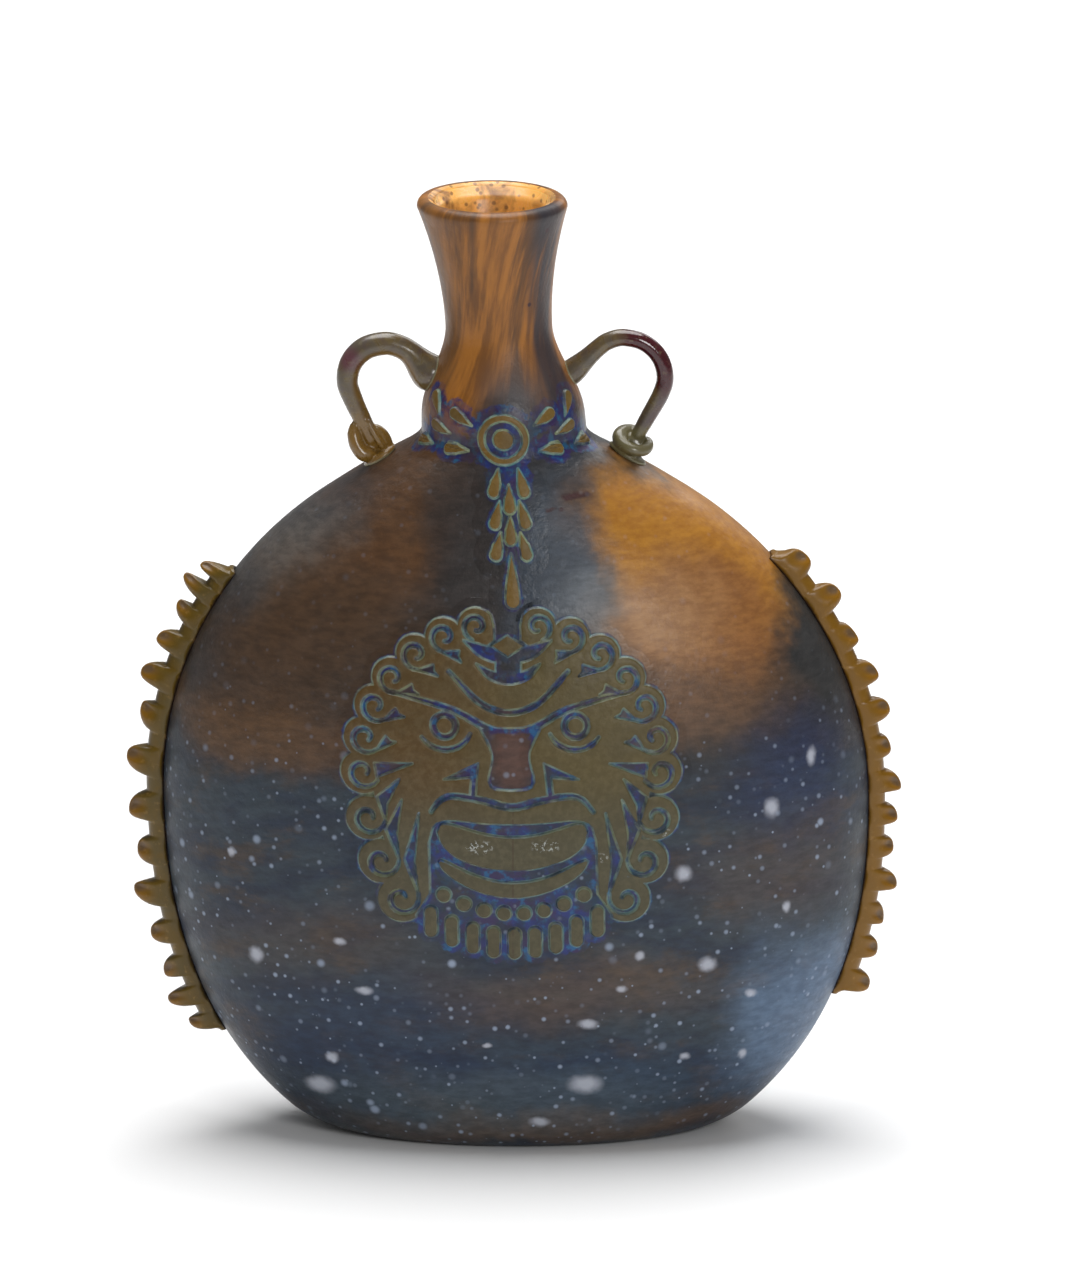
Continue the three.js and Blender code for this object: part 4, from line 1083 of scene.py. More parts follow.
@dataclass
class Handles:
    """The two handles, drawn from rod: the left ends in a folded knot, the right in a coil."""

    form: VesselForm
    left: HandleSpec = HandleSpec(
        side=-1, widths=(5.6, 5.8, 5.9, 5.9, 5.9, 5.8, 5.6, 5.3, 4.8, 4.4, 4.2), flare=0.74, pad_height=194.4,
        stand_off=1.8, bend_radius=9.7, bend_height=192.4, seat_height=173.0)
    right: HandleSpec = HandleSpec(
        side=1, widths=(4.6, 4.5, 4.4, 4.4, 4.4, 4.4, 4.4, 4.3, 4.1, 3.8, 3.2), flare=0.42, pad_height=194.6,
        stand_off=4.2, bend_radius=9.7, bend_height=193.9, seat_height=173.4)
    bend_turns: tuple[float, ...] = (132, 111, 90, 60, 30, 0, -28)
    leaf: tuple[tuple[float, float, float], ...] = (
        (0.2, -1.2, -1.4), (-2.4, -2.0, -1.7), (-4.2, -1.9, 0.4), (-4.9, -1.4, 3.2), (-4.7, -0.8, 6.4))
    leaf_widths: tuple[float, ...] = (3.4, 3.9, 3.7, 3.3, 1.6)
    ridge: tuple[tuple[float, float, float], ...] = (
        (-1.4, -1.9, 7.4), (-0.2, -2.3, 4.6), (1.3, -2.4, 2.0), (2.5, -2.1, -0.3))
    ridge_widths: tuple[float, ...] = (0.9, 1.4, 1.6, 1.4)
    coil_widths: tuple[float, ...] = (2.6, 3.0, 3.6, 3.8, 3.4, 3.2, 3.0, 2.8, 2.6)
    knot_rise: float = 3.0
    coil_radius: float = 3.7
    coil_rod: float = 2.9
    coil_tilt: float = 22.0
    coil_roll: float = 14.0
    voxel: float = 0.28
    seam: float = 0.75

    def anchors(self, spec: HandleSpec) -> tuple[Points, Points, Points, Points]:
        """Finds where a handle starts, bends and lands, and the skin's direction where it lands."""
        angle = math.pi if spec.side < 0 else 0.0
        pad = self.form.skin(angle, spec.pad_height)
        seat = self.form.skin(angle, spec.seat_height)
        bend = np.array([spec.side * (abs(pad[0]) + spec.stand_off + spec.bend_radius), 0, spec.bend_height])
        return pad, seat, bend, self.form.normal(angle, spec.seat_height)

    def arch(self, spec: HandleSpec, pad: Points, bend: Points, end: Points) -> list[Points]:
        """Gives the points of the rod from inside the neck's wall over the bend down to its end."""
        points = [pad - (spec.side * 3.4, 0, 2.3), pad + (spec.side * 0.7, 0, 0.5)]
        for turn in np.radians(self.bend_turns):
            points.append(bend + spec.bend_radius * np.array([spec.side * math.cos(turn), 0, math.sin(turn)]))
        points.append(points[-1] * 0.45 + end * 0.55)
        return [*points, end]

    def marked(self, piece: bpy.types.Object) -> bpy.types.Object:
        """Stores on the mesh how near each place is to the glass that the handle is fused to."""
        data, f = piece.data, self.form
        points = np.zeros(len(data.vertices) * 3)
        data.vertices.foreach_get("co", points)
        p = points.reshape(-1, 3) / MM
        p[:, 0] += f.lip_drift * (p[:, 2] / f.height) ** 2
        w, d = f.half_width(p[:, 2]), f.half_depth(p[:, 2])
        angle = np.arctan2(p[:, 1] / d, p[:, 0] / w)
        away = ((p - f.skin(angle, p[:, 2])) * f.normal(angle, p[:, 2])).sum(axis=1)
        layer = data.attributes.new("seam", "FLOAT", "POINT")
        layer.data.foreach_set("value", np.clip(1.0 - away / self.seam, 0.0, 1.0))
        return piece

    def melted(self, name: str, pieces: Sequence[bmesh.types.BMesh], melt: int) -> bpy.types.Object:
        """Leans pieces with the neck and melts them together."""
        for piece in pieces:
            set_points(piece, self.form.leant(np.array([v.co[:] for v in piece.verts]) / MM))
        return self.marked(fused(name, pieces, self.voxel, melt))

    def build_left(self) -> bpy.types.Object:
        """Draws the left handle: a stout rod whose end is folded back up beside itself like a leaf."""
        spec = self.left
        pad, seat, bend, out = self.anchors(spec)
        end = seat + out * self.knot_rise
        main = rod(self.arch(spec, pad, bend, end + (0.2, 0, 0)), spec.widths, flare=spec.flare)
        leaf = rod([end + step for step in self.leaf], self.leaf_widths, steps=60)
        ridge = rod([end + step for step in self.ridge], self.ridge_widths, steps=50)
        web = lump(end + (1.7, 0.2, 1.6), (5.4, 4.6, 8.6), -0.5)
        foot = lump(seat + out * 0.2, (9.6, 7.6, 3.0), -0.6)
        heart = lump(seat + out * 3.6, (5.0, 3.0, 4.6), -0.5)
        piece = self.melted("drawn_handle_left", [main, leaf, ridge, web, foot, heart], 3)
        dress(piece, DrawnGlass(RodTint.OLIVE).material(), ["handle_left"])
        return piece

    def ring_point(self, centre: Points, degrees: float, climb: float) -> Points:
        """Gives a place on the tilted coil."""
        a = math.radians(degrees)
        flat = Vector((self.coil_radius * math.cos(a), self.coil_radius * math.sin(a), climb))
        flat.rotate(Matrix.Rotation(math.radians(self.coil_tilt), 3, "X"))
        flat.rotate(Matrix.Rotation(math.radians(self.coil_roll), 3, "Y"))
        return centre + np.array(flat)

    def build_right(self) -> bpy.types.Object:
        """Draws the right handle: a slimmer rod whose end is wound into a small lying coil."""
        spec = self.right
        pad, seat, bend, out = self.anchors(spec)
        centre = seat + out * (self.coil_radius + self.coil_rod * 0.1)
        end = centre + (0.1, 1.2, -0.4)
        main = rod(self.arch(spec, pad, bend, end), spec.widths, flare=spec.flare)
        turns = [self.ring_point(centre, a, 0.5 - (a - 45) / 360.0) for a in range(45, 416, 24)]
        coil = rod(turns, self.coil_widths, steps=120)
        foot = lump(seat + out * 0.3, (10.6, 8.2, 2.4), math.pi / 5.5)
        heart = lump(centre + (0.2, 1.3, -1.0), (7.4, 4.4, 4.8), math.pi / 5.5)
        piece = self.melted("drawn_handle_right", [main, coil, foot, heart], 2)
        dress(piece, DrawnGlass(RodTint.RUBY).material(), ["handle_right"])
        return piece


@dataclass(frozen=True)
class CrestSpec:
    """Sizes of one crest: its side, the heights of its ends, its teeth, their bend and their spacing."""

    side: int
    low: float
    high: float
    tooth: float
    hook: float
    hook_sway: float
    sway: tuple[float, float]


@dataclass
class Crests:
    """The two trails laid down the vessel's side edges and pinched into teeth."""

    form: VesselForm
    left: CrestSpec = CrestSpec(-1, 24.8, 143.4, 8.8, 0.5, 1.3, (-0.025, 0.045))
    right: CrestSpec = CrestSpec(1, 34.2, 147.4, 7.6, -0.7, 0.7, (0.035, -0.013))
    width: float = 7.2
    pitch: float = 9.2
    notch: float = 4.1
    tooth_half: float = 0.32
    tooth_sway: float = 0.14
    tooth_fullness: float = 2.3
    tooth_round: float = 0.62
    scoop_depth: float = 0.7
    scoop_place: tuple[float, float] = (0.1, 0.15)
    scoop_face: tuple[float, float] = (0.4, 0.42)
    seam_height: float = 1.3
    end_length: float = 2.4
    seat_gap: float = -0.12
    across: int = 48
    per_tooth: int = 30

    def build(self, spec: CrestSpec, name: str, node: str) -> bpy.types.Object:
        """Pinches one crest.

        Args:
            spec: Its sizes.
            name: The new piece's name.
            node: The solid that it replaces.

        Returns:
            The crest, with its tips, scoops and seam marked on the mesh.
        """
        f = self.form
        angle = math.pi if spec.side < 0 else 0.0
        fine = np.linspace(spec.low, spec.high, 600)
        walk = np.concatenate([[0], np.cumsum(np.linalg.norm(np.diff(f.skin(angle, fine), axis=0), axis=1))])
        length = walk[-1]
        teeth = int(round(length / self.pitch))
        mesh, across, along = unit_grid(self.across, teeth * self.per_tooth)
        once, twice = spec.sway
        distance = length * (along - once * np.sin(math.pi * along) - twice * np.sin(2 * math.pi * along))
        which = np.clip(np.floor(along * teeth), 0, teeth - 1)
        local = along * teeth - which - 0.5
        off = np.minimum(np.abs(local) / self.tooth_half, 1.0)
        wave = (1.0 - off**self.tooth_fullness) ** self.tooth_round
        tall = spec.tooth * (0.98 + self.tooth_sway * np.sin(2.3 * which + spec.side))
        hook = spec.hook + spec.hook_sway * np.sin(1.7 * which + 1.0)
        ends = smooth_step(np.minimum(distance, length - distance) / self.end_length)
        z = np.interp(distance, walk, fine)
        x, up = np.cos(2.0 * math.pi * across), np.sin(2.0 * math.pi * across)
        reach = self.notch * (0.4 + 0.6 * ends) + (tall - self.notch) * wave
        dome = np.where(up > 0, np.clip(up, 0, 1) ** 0.8, 0.0)
        scoop = 1.0
        for value, (middle, half) in ((local, self.scoop_place), (-spec.side * x, self.scoop_face)):
            scoop = scoop * np.exp(-(((value - middle) / half) ** 2))
        scoop = scoop * smooth_step((up - 0.25) / 0.3) * wave
        aside = self.width / 2.0 * x * (1.0 - 0.22 * wave * dome**2 - 0.5 * scoop)
        lift = reach * dome - self.scoop_depth * scoop
        turn = np.arcsin(np.clip(aside / f.half_depth(z), -1, 1))
        out = f.normal(np.full(len(z), angle), z)
        ahead = np.stack([-out[:, 2] * np.sign(out[:, 0]), np.zeros(len(z)), np.abs(out[:, 0])], axis=-1)
        curl = hook * (wave * dome) ** 2
        points = f.skin(angle + turn, z, self.seat_gap) + out * lift[:, None] + ahead * curl[:, None]
        set_points(mesh, f.leant(points))
        marks = {"tip": wave * dome, "scoop": scoop, "seam": np.clip(1.0 - lift / self.seam_height, 0, 1)}
        for key, values in marks.items():
            mark(mesh, key, values)
        crest = finished(mesh, name, weld=2e-6)
        self.close_ends(crest)
        dress(crest, PinchedGlass().material(), [node])
        return crest

    def close_ends(self, crest: bpy.types.Object) -> None:
        """Closes the trail's two ends."""
        mesh = bmesh.new()
        mesh.from_mesh(crest.data)
        open_edges = [e for e in mesh.edges if e.is_boundary]
        bmesh.ops.holes_fill(mesh, edges=open_edges, sides=0)
        bmesh.ops.recalc_face_normals(mesh, faces=mesh.faces)
        mesh.to_mesh(crest.data)
        mesh.free()
        crest.data.polygons.foreach_set("use_smooth", [True] * len(crest.data.polygons))


def in_disc(p: Points, centre: Sequence[float], radius: float) -> np.ndarray:
    """Gives how far points lie inside a disc."""
    return radius - np.hypot(p[:, 0] - centre[0], p[:, 1] - centre[1])


def in_oval(p: Points, centre: Sequence[float], radii: Sequence[float]) -> np.ndarray:
    """Gives about how far points lie inside an upright oval."""
    q = (p - centre) / radii
    near = np.linalg.norm(q, axis=1)
    slope = np.linalg.norm(q / radii, axis=1)
    return -near * (near - 1.0) / np.maximum(slope, 1e-6)


def in_stroke(p: Points, points: Sequence[Sequence[float]], widths: Sequence[float]) -> np.ndarray:
    """Gives how far points lie inside a stroke of changing width.

    Args:
        p: The points.
        points: The stroke's middle line.
        widths: Its width at each of these.

    Returns:
        Distances, positive inside.
    """
    best = np.full(len(p), -1e9)
    line = np.array(points, float)
    for a, b, wa, wb in zip(line, line[1:], widths, widths[1:]):
        ab = b - a
        t = np.clip(((p - a) @ ab) / max(ab @ ab, 1e-9), 0.0, 1.0)
        away = np.linalg.norm(p - a - t[:, None] * ab, axis=1)
        best = np.maximum(best, (wa + (wb - wa) * t) / 2.0 - away)
    return best


def in_polygon(p: Points, corners: Sequence[Sequence[float]]) -> np.ndarray:
    """Gives how far points lie inside a polygon."""
    c = np.array(corners, float)
    nearest = np.full(len(p), 1e9)
    inside = np.zeros(len(p), bool)
    for a, b in zip(c, np.roll(c, -1, axis=0)):
        ab = b - a
        t = np.clip(((p - a) @ ab) / max(ab @ ab, 1e-9), 0.0, 1.0)
        nearest = np.minimum(nearest, np.linalg.norm(p - a - t[:, None] * ab, axis=1))
        spans = (a[1] > p[:, 1]) != (b[1] > p[:, 1])
        with np.errstate(divide="ignore", invalid="ignore"):
            cross = (b[0] - a[0]) * (p[:, 1] - a[1]) / (b[1] - a[1]) + a[0]
        inside ^= spans & (p[:, 0] < cross)
    return np.where(inside, nearest, -nearest)


def polar(centre: Sequence[float], degrees: float, distance: float) -> np.ndarray:
    """Gives the place at a direction and distance from another."""
    a = math.radians(degrees)
    return np.array([centre[0] + distance * math.cos(a), centre[1] + distance * math.sin(a)])


@dataclass(frozen=True)
class Cut:
    """One cut in the relief: a stroke where it has widths, and otherwise a filled outline."""

    points: Sequence[Sequence[float]]
    widths: Sequence[float] | None = None
    grow: float = 0.0

    def measure(self, q: Points, around: float = 3.5) -> np.ndarray:
        """Gives how far points lie inside the cut, for those near it."""
        line = np.array(self.points, float)
        here = ((q > line.min(axis=0) - around) & (q < line.max(axis=0) + around)).all(axis=1)
        inside = np.full(len(q), -1e3)
        if self.widths is None:
            inside[here] = in_polygon(q[here], line) + self.grow
        else:
            inside[here] = in_stroke(q[here], line, self.widths)
        return inside


def bow(right: Sequence[Sequence[float]], width: float, taper: float) -> Cut:
    """Draws a groove across the face from the points of its right half, the first one on the middle."""
    points = [(-x, y) for x, y in right[:0:-1]] + list(right)
    share = np.linspace(0, 1, 33)
    end = np.minimum(share, 1 - share)
    return Cut(through(points, share), width * (1 - taper * (1 - 2 * end) ** 2))


@dataclass(frozen=True)
class MaskDrawing:
    """The grotesque mask, drawn as a symmetric design of arcs, strokes and volutes about its middle."""

    curl_ring: float = 37.0
    crown_stretch: float = 0.99
    chin_stretch: float = 1.38
    curl_lift: float = 2.4
    curl_radius: float = 4.7
    curl_growth: float = 0.155
    curls: int = 10
    curl_first: float = 78.0
    curl_step: float = 13.2
    field_share: float = 0.94
    groove: float = 1.15
    slot_lead: float = 30.0
    slot_turn: float = 350.0
    slot_reach: float = 0.74
    slot_eye: float = 0.2
    flag_length: float = 5.0
    flag_spread: float = 35.0
    first_mane: int = 6
    mane_root: tuple[float, float] = (21.5, -2.0)
    mane_reach: float = 6.8
    nostril: tuple[tuple[float, float], ...] = (
        (8.2, 4.5), (12.6, 2.3), (16.8, 0.3), (9.9, 0.9), (10.4, -4.2), (9, -4.2), (8.6, 0.9))
    eye: tuple[float, float] = (16.3, 13.8)
    eye_radius: float = 3.5
    pupil_radius: float = 2.1
    mouth_half: float = 20.9
    lip_half: float = 18.9
    tongue: tuple[float, float, float] = (-13.3, 8.8, 5.5)
    lower_lip: tuple[float, float, float] = (-21.0, 4.1, 7.25)
    diamond: tuple[float, float, float] = (8.4, 5.4, 33.6)
    diamond_margin: float = 0.9
    beads: int = 8
    bead_radius: float = 1.9
    bead_pitch: float = 5.0
    bead_level: float = -34.4
    bead_curve: float = 0.0153
    tabs: int = 9
    tab_width: float = 3.4
    tab_height: float = 8.3
    tab_pitch: float = 5.2
    tab_level: float = -42.3
    tab_curve: float = 0.0128

    def curl_centre(self, k: int) -> np.ndarray:
        """Gives the middle of one volute on the right side."""
        turn = math.radians(self.curl_first - self.curl_step * k)
        tall = self.curl_ring * (self.crown_stretch if turn > 0 else self.chin_stretch)
        return np.array([self.curl_ring * math.cos(turn), self.curl_lift + tall * math.sin(turn)])

    def curl_size(self, k: int) -> float:
        """Gives the radius of one volute."""
        return self.curl_radius + self.curl_growth * k

    def inward(self, k: int) -> float:
        """Gives the direction from a volute's middle to the middle of the face, in degrees."""
        x, y = self.curl_centre(k)
        return math.degrees(math.atan2(self.curl_lift - y, -x))

    def slot_point(self, k: int, t: float) -> np.ndarray:
        """Gives a place on the slot that winds into a volute, at a share of its length."""
        reach = self.curl_size(k) * (self.slot_reach + (self.slot_eye - self.slot_reach) * t)
        return polar(self.curl_centre(k), self.inward(k) + self.slot_lead + self.slot_turn * t, reach)

    def flag(self, k: int) -> Cut:
        """Draws the flag-shaped cut under the lock beside a volute of the hair."""
        start, along = self.slot_point(k, 0), self.inward(k) - self.flag_spread
        heel, tip = polar(start, along + 150, 0.5), polar(start, along, self.flag_length)
        corner = polar(start, along - self.flag_spread, self.flag_length * 0.8)
        return Cut([heel, tip, (tip + corner) / 2 + (start - corner) * 0.12, corner], grow=0.12)

    def mane(self, k: int) -> Cut:
        """Draws a long wedge between the locks of the mane, from a volute up to the cheek."""
        order, start = k - self.first_mane, self.curl_centre(k)
        tip = polar(self.mane_root, 63 - 46 * order, self.mane_reach)
        along = math.degrees(math.atan2(*(tip - start)[::-1]))
        broad = polar(start, along, 3.4 + 2.3 * order)
        half = (3.4 - 0.3 * order) / 2
        left, right = polar(broad, along + 90, half), polar(broad, along - 90, half)
        return Cut([self.slot_point(k, 0), left, tip, right], grow=0.1)

    def side_cuts(self) -> list[Cut]:
        """Lists the cuts of the right half of the face, which are mirrored onto the left."""
        made, share = [], np.linspace(0, 1, 19)
        taper = 1 - 0.45 * (1 - 2 * np.minimum(share, 1 - share)) ** 2
        for k in range(self.curls):
            made.append(Cut([self.slot_point(k, t) for t in share], self.groove * taper))
            if k:
                made.append(self.flag(k) if k < self.first_mane else self.mane(k))
        bag = [polar((self.eye[0], self.eye[1] + 1.0), a, 7.0) for a in np.linspace(205, 325, 11)]
        made.append(Cut(bag, 1.2 * (1 - 0.5 * np.abs(np.linspace(-1, 1, 11)) ** 2)))
        return [*made, Cut(self.nostril, grow=0.08)]

    def middle_cuts(self) -> list[Cut]:
        """Lists the cuts that cross the middle: forehead, smile line, brow, nose and moustache."""
        half, tall = self.diamond[0] / 2 + self.diamond_margin, self.diamond[1] / 2 + self.diamond_margin
        lift = self.diamond[2]
        nose = through([(7.6, 13.4), (4.7, 6.6), (5.7, 0.4), (4.4, -1.9), (0, -2.4)], np.linspace(0, 1, 17))
        return [
            Cut([(3.2, 26), (3.3, 38.4), (5.6, 48), (-9, 48), (-9, 26)]),
            Cut([(half, lift), (0, lift + tall), (-half, lift), (0, lift - tall)]),
            bow([(0, 31.4), (5.4, 32), (10.8, 34.8)], 4.2, 0.9),
            bow([(0, 25.6), (4.4, 26.5), (7.9, 29.2)], 2.8, 0.9),
            bow([(0, 17.2), (7.4, 19.725), (14.8, 27.3)], 1.4, 0.4),
            bow([(0, 12.1), (6, 13.5), (13, 17.3), (20.7, 19.7), (30.3, 22)], 1.7, 0.6),
            Cut([*nose, (-9, -2.4), (-9, 13.4)]),
            bow([(0, -6.6), (7.3, -4.9), (14.5, -3.9), (17.8, -5), (20.2, -8)], 1.7, 0.5),
        ]

    def opening(self) -> Cut:
        """Draws the mouth's opening: a nearly straight roof with round corners, wider below the jowls."""
        t = np.linspace(-1, 1, 41)
        roof = -9.0 - 2.2 * (1 - t * t) - 7.0 * (1 - np.sqrt(1 - t**8))
        right = [(20.9, -29.5), (24.4, -35.0), (24.4, -62.0)]
        left = [(-x, y) for x, y in right[::-1]]
        return Cut([*left, *np.column_stack([self.mouth_half * t, roof]), *right])

    def hanging(self, p: Points, band: tuple[float, float, float]) -> np.ndarray:
        """Draws a band that hangs between two rounded ends, as a lip does."""
        level, tall, sag = band
        t = np.linspace(-1, 1, 49)
        full = np.sqrt(1 - t**8) * tall / 2.0
        x, middle = self.lip_half * t, level - sag * (1 - t * t)
        upper = np.stack([x, middle + full], axis=1)
        lower = np.stack([x, middle - full], axis=1)[::-1][1:-1]
        return in_polygon(p, np.vstack([upper, lower]))

    def lozenge(self, p: Points) -> np.ndarray:
        """Draws the lozenge on the forehead."""
        half, tall, lift = self.diamond[0] / 2, self.diamond[1] / 2, self.diamond[2]
        return in_polygon(p, [(half, lift), (0, lift + tall), (-half, lift), (0, lift - tall)])

    def bead_place(self, i: int) -> tuple[float, float]:
        """Gives the middle of one bead under the mouth."""
        x = (i - (self.beads - 1) / 2) * self.bead_pitch
        return x, self.bead_level + self.bead_curve * x * x

    def tab_place(self, i: int) -> tuple[float, float]:
        """Gives the middle of one tab of the fringe."""
        x = (i - (self.tabs - 1) / 2) * self.tab_pitch
        return x, self.tab_level + self.tab_curve * x * x

    def bead(self, p: Points, i: int) -> np.ndarray:
        """Draws one bead."""
        return in_disc(p, self.bead_place(i), self.bead_radius)

    def tab(self, p: Points, i: int) -> np.ndarray:
        """Draws one tab."""
        x, y = self.tab_place(i)
        straight = (self.tab_height - self.tab_width) / 2
        return in_stroke(p, [(x, y - straight), (x, y + straight)], (self.tab_width, self.tab_width))

    def head(self, p: Points) -> np.ndarray:
        """Draws the head with its ring of volutes, before anything is cut out of it."""
        q = np.column_stack([np.abs(p[:, 0]), p[:, 1]])
        stretch = np.where(q[:, 1] > self.curl_lift, self.crown_stretch, self.chin_stretch)
        radii = self.field_share * self.curl_ring * np.column_stack([np.ones(len(q)), stretch])
        solid = in_oval(q, (0.0, self.curl_lift), radii)
        for k in range(self.curls):
            solid = np.maximum(solid, in_disc(q, self.curl_centre(k), self.curl_size(k)))
        return solid

    def face(self, p: Points) -> np.ndarray:
        """Draws the mask's field: the head, less everything cut out of it."""
        q = np.column_stack([np.abs(p[:, 0]), p[:, 1]])
        cut = in_disc(q, self.eye, self.eye_radius)
        for piece in [*self.side_cuts(), *self.middle_cuts(), self.opening()]:
            cut = np.maximum(cut, piece.measure(q))
        return np.minimum(self.head(p), -cut)

    def reach(self, p: Points) -> np.ndarray:
        """Gives how far the enamel spreads: little outside the head, more in its slots and the fringe."""
        fringe = np.maximum.reduce([self.bead(p, i) for i in range(self.beads)]
                                   + [self.tab(p, i) for i in range(self.tabs)])
        slots = 0.5 + 1.1 * smooth_step(self.head(p) / 0.8)
        nose = smooth_step(np.minimum(5.6 - np.abs(p[:, 0]), np.minimum(10.5 - p[:, 1], p[:, 1] + 3.4)) / 1.0)
        return np.maximum(slots - 1.7 * nose, 0.5 + 1.2 * smooth_step((fringe + 2.8) / 1.2))


@dataclass(frozen=True)
class Seat:
    """Where a piece of relief lies: the middle, the two directions that it is drawn in, and outwards."""

    middle: tuple[float, float, float]
    right: tuple[float, float, float]
    up: tuple[float, float, float]
    out: tuple[float, float, float]

    def flat(self, points: Points) -> Points:
        """Gives the drawing's coordinates of points in space."""
        away = points - np.array(self.middle)
        drawn = np.column_stack([away @ np.array(self.right), away @ np.array(self.up)])
        drawn[away @ np.array(self.out) < -30.0] = 1e3
        return drawn


@dataclass
class Island:
    """One piece of the overlay: a drawing on its seat."""

    name: str
    node: str
    seat: Seat
    draw: Callable[[Points], np.ndarray]
    low: tuple[float, float]
    high: tuple[float, float]
    crown: float = 0.12
    step: float = 0.2
    golden: bool = False


@dataclass(frozen=True)
class Sprig:
    """Where one petal of the garland lies: degrees round the neck, rise over the rosette, and tilt."""

    turn: float
    rise: float
    tilt: float


GARLAND = (Sprig(31, 4.8, 27), Sprig(34, -3.2, -3), Sprig(49, 1.3, 14), Sprig(56, 7, 55), Sprig(66, -3.2, -3))


@dataclass
class Relief:
    """The cameo: islands of olive overlay on the skin, with the enamelled ground round them."""

    form: VesselForm
    mask: MaskDrawing = field(default_factory=MaskDrawing)
    cameo: CameoGlass = field(default_factory=CameoGlass)
    gold: CameoGlass = CameoGlass(
        halo=2.3, golden=0.55, line=0.26, line_strength=0.9, cover=0.3, turquoise=(82, 128, 130),
        pale_edge=(130, 142, 108), cobalt=(28, 42, 100), violet=(44, 28, 74), teal=(26, 84, 118))
    thickness: float = 1.0
    golden_share: float = 0.75
    film: float = 0.02
    film_fade: float = 2.0
    film_room: float = 2.8
    film_border: float = 175.0
    film_foot: float = 134.0
    collar_turn: float = 3.3
    collar_rise: float = 22.5
    collar_faces: tuple[int, int] = (260, 92)
    apron_width: float = 23.0
    apron_faces: tuple[int, int] = (92, 170)
    pendant_halo: float = 0.8
    halo_height: float = 170.5
    halo_fade: float = 5.0
    sunk: float = 0.25
    skirt: float = 0.3
    edge_width: float = 0.42
    mask_height: float = 100.0
    mask_aside: float = -0.8
    mask_step: float = 0.3
    rosette_height: float = 182.5
    rosette_radius: float = 6.3
    rosette_band: float = 1.7
    boss_radius: float = 2.6
    petal_length: float = 7.2
    petal_width: float = 3.0
    petal_gap: float = 0.4
    pendant_aside: float = 0.9
    pendant_spread: float = 3.3
    pendant_tilt: float = 0.25
    pendant_pitch: float = 7.37
    pendant_drop: float = 13.45
    drop_width: float = 3.75
    pendant_room: float = 33.2

    def front_seat(self, z: float, x: float = 0.0) -> Seat:
        """Gives the seat of a drawing seen straight from the front."""
        return Seat((x, -30.0, z), (1, 0, 0), (0, 0, 1), (0, -1, 0))

    def neck_seat(self, angle: float, z: float) -> Seat:
        """Gives the seat of a drawing that looks out from a place round the neck."""
        out = self.form.normal(np.array(angle), np.array(z))
        right = np.array([-math.sin(angle), math.cos(angle), 0.0])
        up = np.cross(out, right)
        return Seat(tuple(self.form.skin(angle, z)), tuple(right), tuple(up), tuple(out))

    def teardrop(self, length: float, width: float, turn: float) -> Callable[[Points], np.ndarray]:
        """Draws a teardrop about its middle, with its point towards a direction."""
        along = np.array([math.cos(turn), math.sin(turn)])
        blunt, tip = -along * (length / 2 - width / 2), along * (length / 2 - 0.2)
        waist = blunt + along * length * 0.28
        return lambda p: in_stroke(p, [blunt, waist, tip], (width, width * 0.84, 0.3))

    def mask_islands(self) -> list[Island]:
        """Lists the mask's islands."""
        m, seat = self.mask, self.front_seat(self.mask_height, self.mask_aside)
        half = m.lip_half + 1
        made = [
            Island("cameo_lozenge", "mask_forehead_diamond", seat, m.lozenge, (-5, 30), (5, 37.2)),
            Island("cameo_tongue", "mask_tongue", seat, lambda p: m.hanging(p, m.tongue),
                   (-half, -24.5), (half, -7)),
            Island("cameo_lower_lip", "mask_lower_lip", seat, lambda p: m.hanging(p, m.lower_lip),
                   (-half, -31.4), (half, -17.5)),
        ]
        for side, word in ((-1, "left"), (1, "right")):
            x, y = side * m.eye[0], m.eye[1]
            made.append(Island(f"cameo_pupil_{word}", f"mask_pupil_{word}", seat,
                               lambda p, x=x, y=y: in_disc(p, (x, y), m.pupil_radius),
                               (x - 3, y - 3), (x + 3, y + 3)))
        for i in range(m.beads):
            x, y = m.bead_place(i)
            made.append(Island(f"cameo_bead_{i + 1}", f"mask_bead_{i + 1}", seat, lambda p, i=i: m.bead(p, i),
                               (x - 2.6, y - 2.6), (x + 2.6, y + 2.6)))
        for i in range(m.tabs):
            x, y = m.tab_place(i)
            made.append(Island(f"cameo_tab_{i + 1}", f"mask_tab_{i + 1}", seat, lambda p, i=i: m.tab(p, i),
                               (x - 2.5, y - 5.0), (x + 2.5, y + 5.0)))
        return made

    def pendant_islands(self) -> list[Island]:
        """Lists the pendant's petals and its drop."""
        made, up = [], math.pi / 2
        top = self.rosette_height - self.rosette_radius - self.petal_gap
        length = self.pendant_pitch - self.petal_gap / 2

        def add(word: str, x: float, z: float, tilt: float, tall: float = length,
                wide: float = self.petal_width) -> None:
            """Adds one petal of the pendant."""
            seat = self.front_seat(z, x + self.pendant_aside)
            node = "pendant_drop" if word == "drop" else f"pendant_petal_{word}"
            made.append(Island(f"cameo_pendant_{word}", node, seat, self.teardrop(tall, wide, up + tilt),
                               (-3, -tall / 2 - 0.8), (3, tall / 2 + 0.8), golden=True))

        for row in range(3):
            z = top - length / 2 - self.pendant_pitch * row
            add(f"left_{row + 1}", -self.pendant_spread, z, -self.pendant_tilt)
            add(f"right_{row + 1}", self.pendant_spread, z, self.pendant_tilt)
            if row < 2:
                add(f"middle_{row + 1}", 0, z - self.pendant_pitch / 2, 0)
        add("drop", 0, top - self.pendant_room + self.pendant_drop / 2, 0, self.pendant_drop, self.drop_width)
        return made

